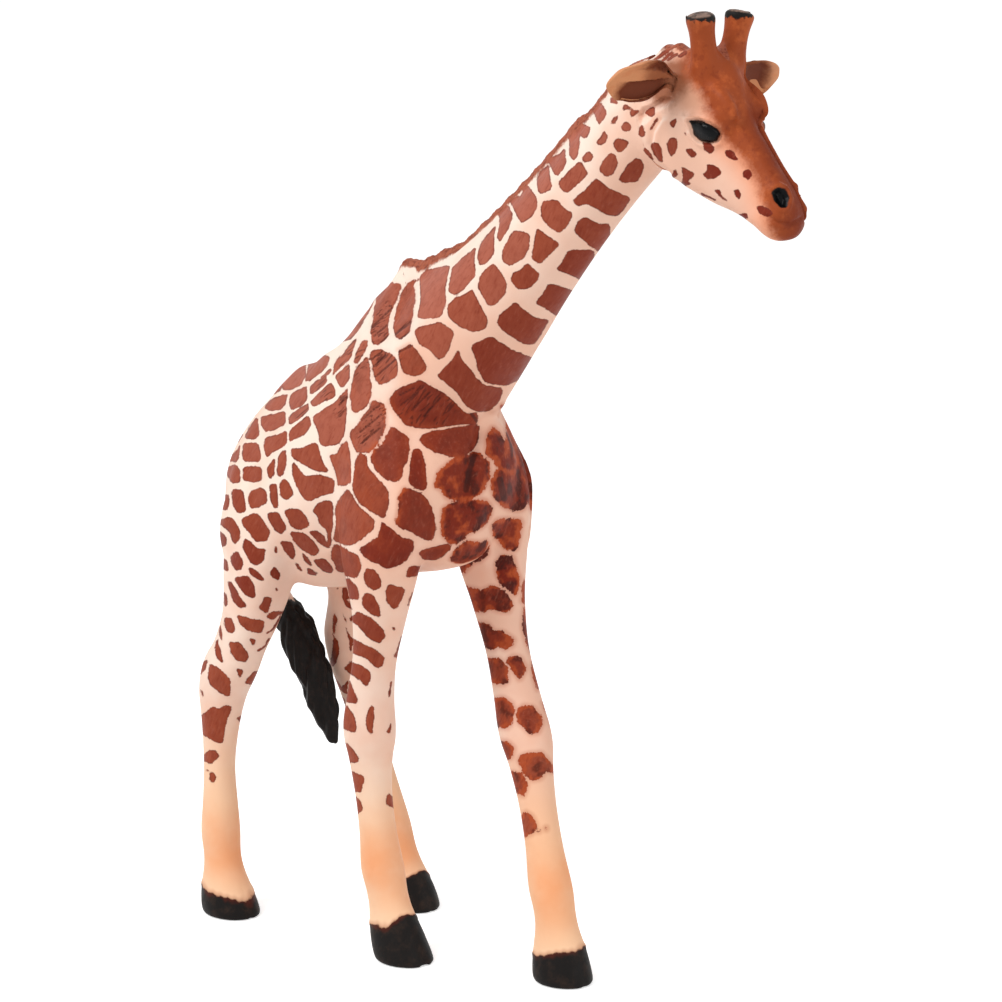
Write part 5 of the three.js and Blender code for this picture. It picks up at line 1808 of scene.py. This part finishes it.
def coat_material(name, head=False):
    """Cream plastic with sprayed shading, hand-painted patches and the paint of the head or the hooves"""
    colours = bpy.context.scene.giraffe_paint

    def build(tree):
        cloud, blot = speckle(tree, *CLOUD), speckle(tree, *BLOT)
        ground = ground_paint(tree, colours, cloud)
        if head:
            mottle, root = specks(tree, "mottle"), mask(tree, "root")
            ground = face_paint(tree, colours, ground, mottle, root)
        else:
            ground = leg_paint(tree, colours, ground, cloud)
        depth, rust = read(tree, "patch"), read(tree, "rust")
        ground = mixed(tree, times(tree, ranged(tree, depth, *RUST_HALO), rust), ground, colours.rust)
        ragged = plus(tree, PATCH_RAGGED, times(tree, rust, RUSTY_RAGGED))
        patches = patch_paint(tree, colours, depth, rust, blot)
        base = mixed(tree, painted(tree, depth, PATCH_SOFTNESS, ragged), ground, patches)
        strands = mixed(tree, specks(tree, "strand"), colours.mane, colours.patch_edge)
        base = mixed(tree, mask(tree, "mane"), base, strands)
        if not head:
            return hoof_paint(tree, colours, base, blot), colours.gloss
        base = mixed(tree, mask(tree, "ear"), base, ear_paint(tree, colours, mottle, root))
        base = mixed(tree, mask(tree, "tip"), base, horn_paint(tree, colours))
        roughness = colours.gloss
        for part in ("eye", "nostril"):
            share = mask(tree, part)
            base = mixed(tree, share, base, colours.eye)
            roughness = plus(tree, roughness, times(tree, share, colours.wet - colours.gloss))
        return base, roughness

    return plastic(name, build)


def tail_material(name):
    """Cream plastic with the black paint of the tuft"""
    colours = bpy.context.scene.giraffe_paint

    def build(tree):
        black = mixed(tree, specks(tree, "tuft"), colours.hoof, colours.hoof_worn)
        return mixed(tree, mask(tree, "tuft"), colours.cream, black), colours.gloss

    return plastic(name, build)


# The lamps: size, and how far to the right of, above and in front of the figure's middle, in metres
KEY_PLACE = (0.35, -0.45, 0.5, 0.25)
FILL_PLACE = (0.6, 0.6, 0.2, 0.5)


def lamp(name, power, size, right, up, front):
    """A square soft lamp, placed from the figure's middle to the right of, above and in front of it"""
    aim = np.array(VIEW_AIM) * MM
    place = Vector(aim + RIGHT * right + np.array((0, 0, 1)) * up - AHEAD * front)
    light = bpy.data.lights.new(name, "AREA")
    light.energy = power
    light.size = size
    shape = bpy.data.objects.new(name, light)
    bpy.context.scene.collection.objects.link(shape)
    shape.location = place
    shape.rotation_euler = (Vector(aim) - place).to_track_quat("-Z", "Y").to_euler()


def bright_to_camera(tree, strength):
    """A strength that only the camera, a gloss or a glass sees"""
    path = tree.nodes.new("ShaderNodeLightPath")
    shown = sums(tree, "MAXIMUM", path.outputs["Is Camera Ray"], path.outputs["Is Glossy Ray"])
    shown = sums(tree, "MAXIMUM", shown, path.outputs["Is Transmission Ray"])
    return times(tree, shown, strength)


# The colours and the glow of the stage, and how near the camera sees, in metres
WHITE = (1.0, 1.0, 1.0)
FLOOR_SHADE = (0.9, 0.9, 0.9)
FLOOR_ROUGHNESS = 0.9
FLOOR_GLOW = 0.55
CLIP_START = 0.01


def floor_material():
    """A pale matt floor that glows a little towards the camera, so that it shows white"""
    material = bpy.data.materials.new("pale_floor")
    material.use_nodes = True
    tree = material.node_tree
    shader = tree.nodes["Principled BSDF"]
    for name, value in (
        ("Base Color", FLOOR_SHADE), ("Roughness", FLOOR_ROUGHNESS), ("Emission Color", WHITE),
        ("Emission Strength", bright_to_camera(tree, FLOOR_GLOW)),
    ):
        put(tree, shader.inputs[name], value)
    return material


def studio_world(strength):
    """White light from all round, which shows as plain white behind the figure"""
    world = bpy.data.worlds.new("studio")
    world.use_nodes = True
    tree = world.node_tree
    sky = tree.nodes["Background"]
    put(tree, sky.inputs["Color"], WHITE)
    put(tree, sky.inputs["Strength"], strength)
    white = add(tree, "ShaderNodeBackground", Color=WHITE, Strength=1.0)
    both = tree.nodes.new("ShaderNodeMixShader")
    for socket, value in zip(both.inputs, (bright_to_camera(tree, 1.0), sky.outputs[0], white.outputs[0])):
        put(tree, socket, value)
    tree.links.new(both.outputs[0], tree.nodes["World Output"].inputs["Surface"])
    return world


class GIRAFFE_OT_stage(bpy.types.Operator):
    """Set the floor, the sky, the lamps and the camera"""

    bl_idname = "giraffe.stage"
    bl_label = "Stage"

    def execute(self, context):
        stage = context.scene.giraffe_stage
        alone()
        bpy.ops.mesh.primitive_plane_add(size=stage.floor)
        floor = context.object
        floor.name = "floor"
        floor.data.materials.append(floor_material())
        context.scene.world = studio_world(stage.sky)
        lamp("key_lamp", stage.key, *KEY_PLACE)
        lamp("fill_lamp", stage.fill, *FILL_PLACE)
        camera = bpy.data.cameras.new("camera")
        camera.lens = VIEW_LENS
        camera.sensor_width = VIEW_SENSOR
        camera.clip_start = CLIP_START
        shape = bpy.data.objects.new("camera", camera)
        context.scene.collection.objects.link(shape)
        shape.location = Vector(EYE)
        shape.rotation_euler = Vector(AHEAD).to_track_quat("-Z", "Y").to_euler()
        context.scene.camera = shape
        context.scene.view_settings.view_transform = "Standard"
        return {"FINISHED"}


class GIRAFFE_PT_panel(bpy.types.Panel):
    """The figure's settings and the steps that make it"""

    bl_label = "Toy giraffe"
    bl_idname = "GIRAFFE_PT_panel"
    bl_space_type = "VIEW_3D"
    bl_region_type = "UI"
    bl_category = "Giraffe"

    def draw(self, context):
        scene = context.scene
        for settings in (scene.giraffe_paint, scene.giraffe_relief, scene.giraffe_stage):
            box = self.layout.box()
            for name in settings.__annotations__:
                box.prop(settings, name)
        for operator in OPERATORS:
            self.layout.operator(operator.bl_idname)


OPERATORS = (GIRAFFE_OT_stage, GIRAFFE_OT_body, GIRAFFE_OT_head, GIRAFFE_OT_tail)
GROUPS = (GiraffePaint, GiraffeRelief, GiraffeStage)
CLASSES = (*GROUPS, *OPERATORS, GIRAFFE_PT_panel)


def register():
    """Adds the settings, the steps and the panel"""
    for kind in CLASSES:
        bpy.utils.register_class(kind)
    bpy.types.Scene.giraffe_paint = PointerProperty(type=GiraffePaint)
    bpy.types.Scene.giraffe_relief = PointerProperty(type=GiraffeRelief)
    bpy.types.Scene.giraffe_stage = PointerProperty(type=GiraffeStage)


def unregister():
    """Takes the settings, the steps and the panel away again"""
    del bpy.types.Scene.giraffe_stage
    del bpy.types.Scene.giraffe_relief
    del bpy.types.Scene.giraffe_paint
    for kind in reversed(CLASSES):
        bpy.utils.unregister_class(kind)


def main():
    """Makes the figure"""
    register()
    bpy.ops.giraffe.stage()
    bpy.ops.giraffe.body()
    bpy.ops.giraffe.head()
    bpy.ops.giraffe.tail()


if __name__ == "__main__":
    main()
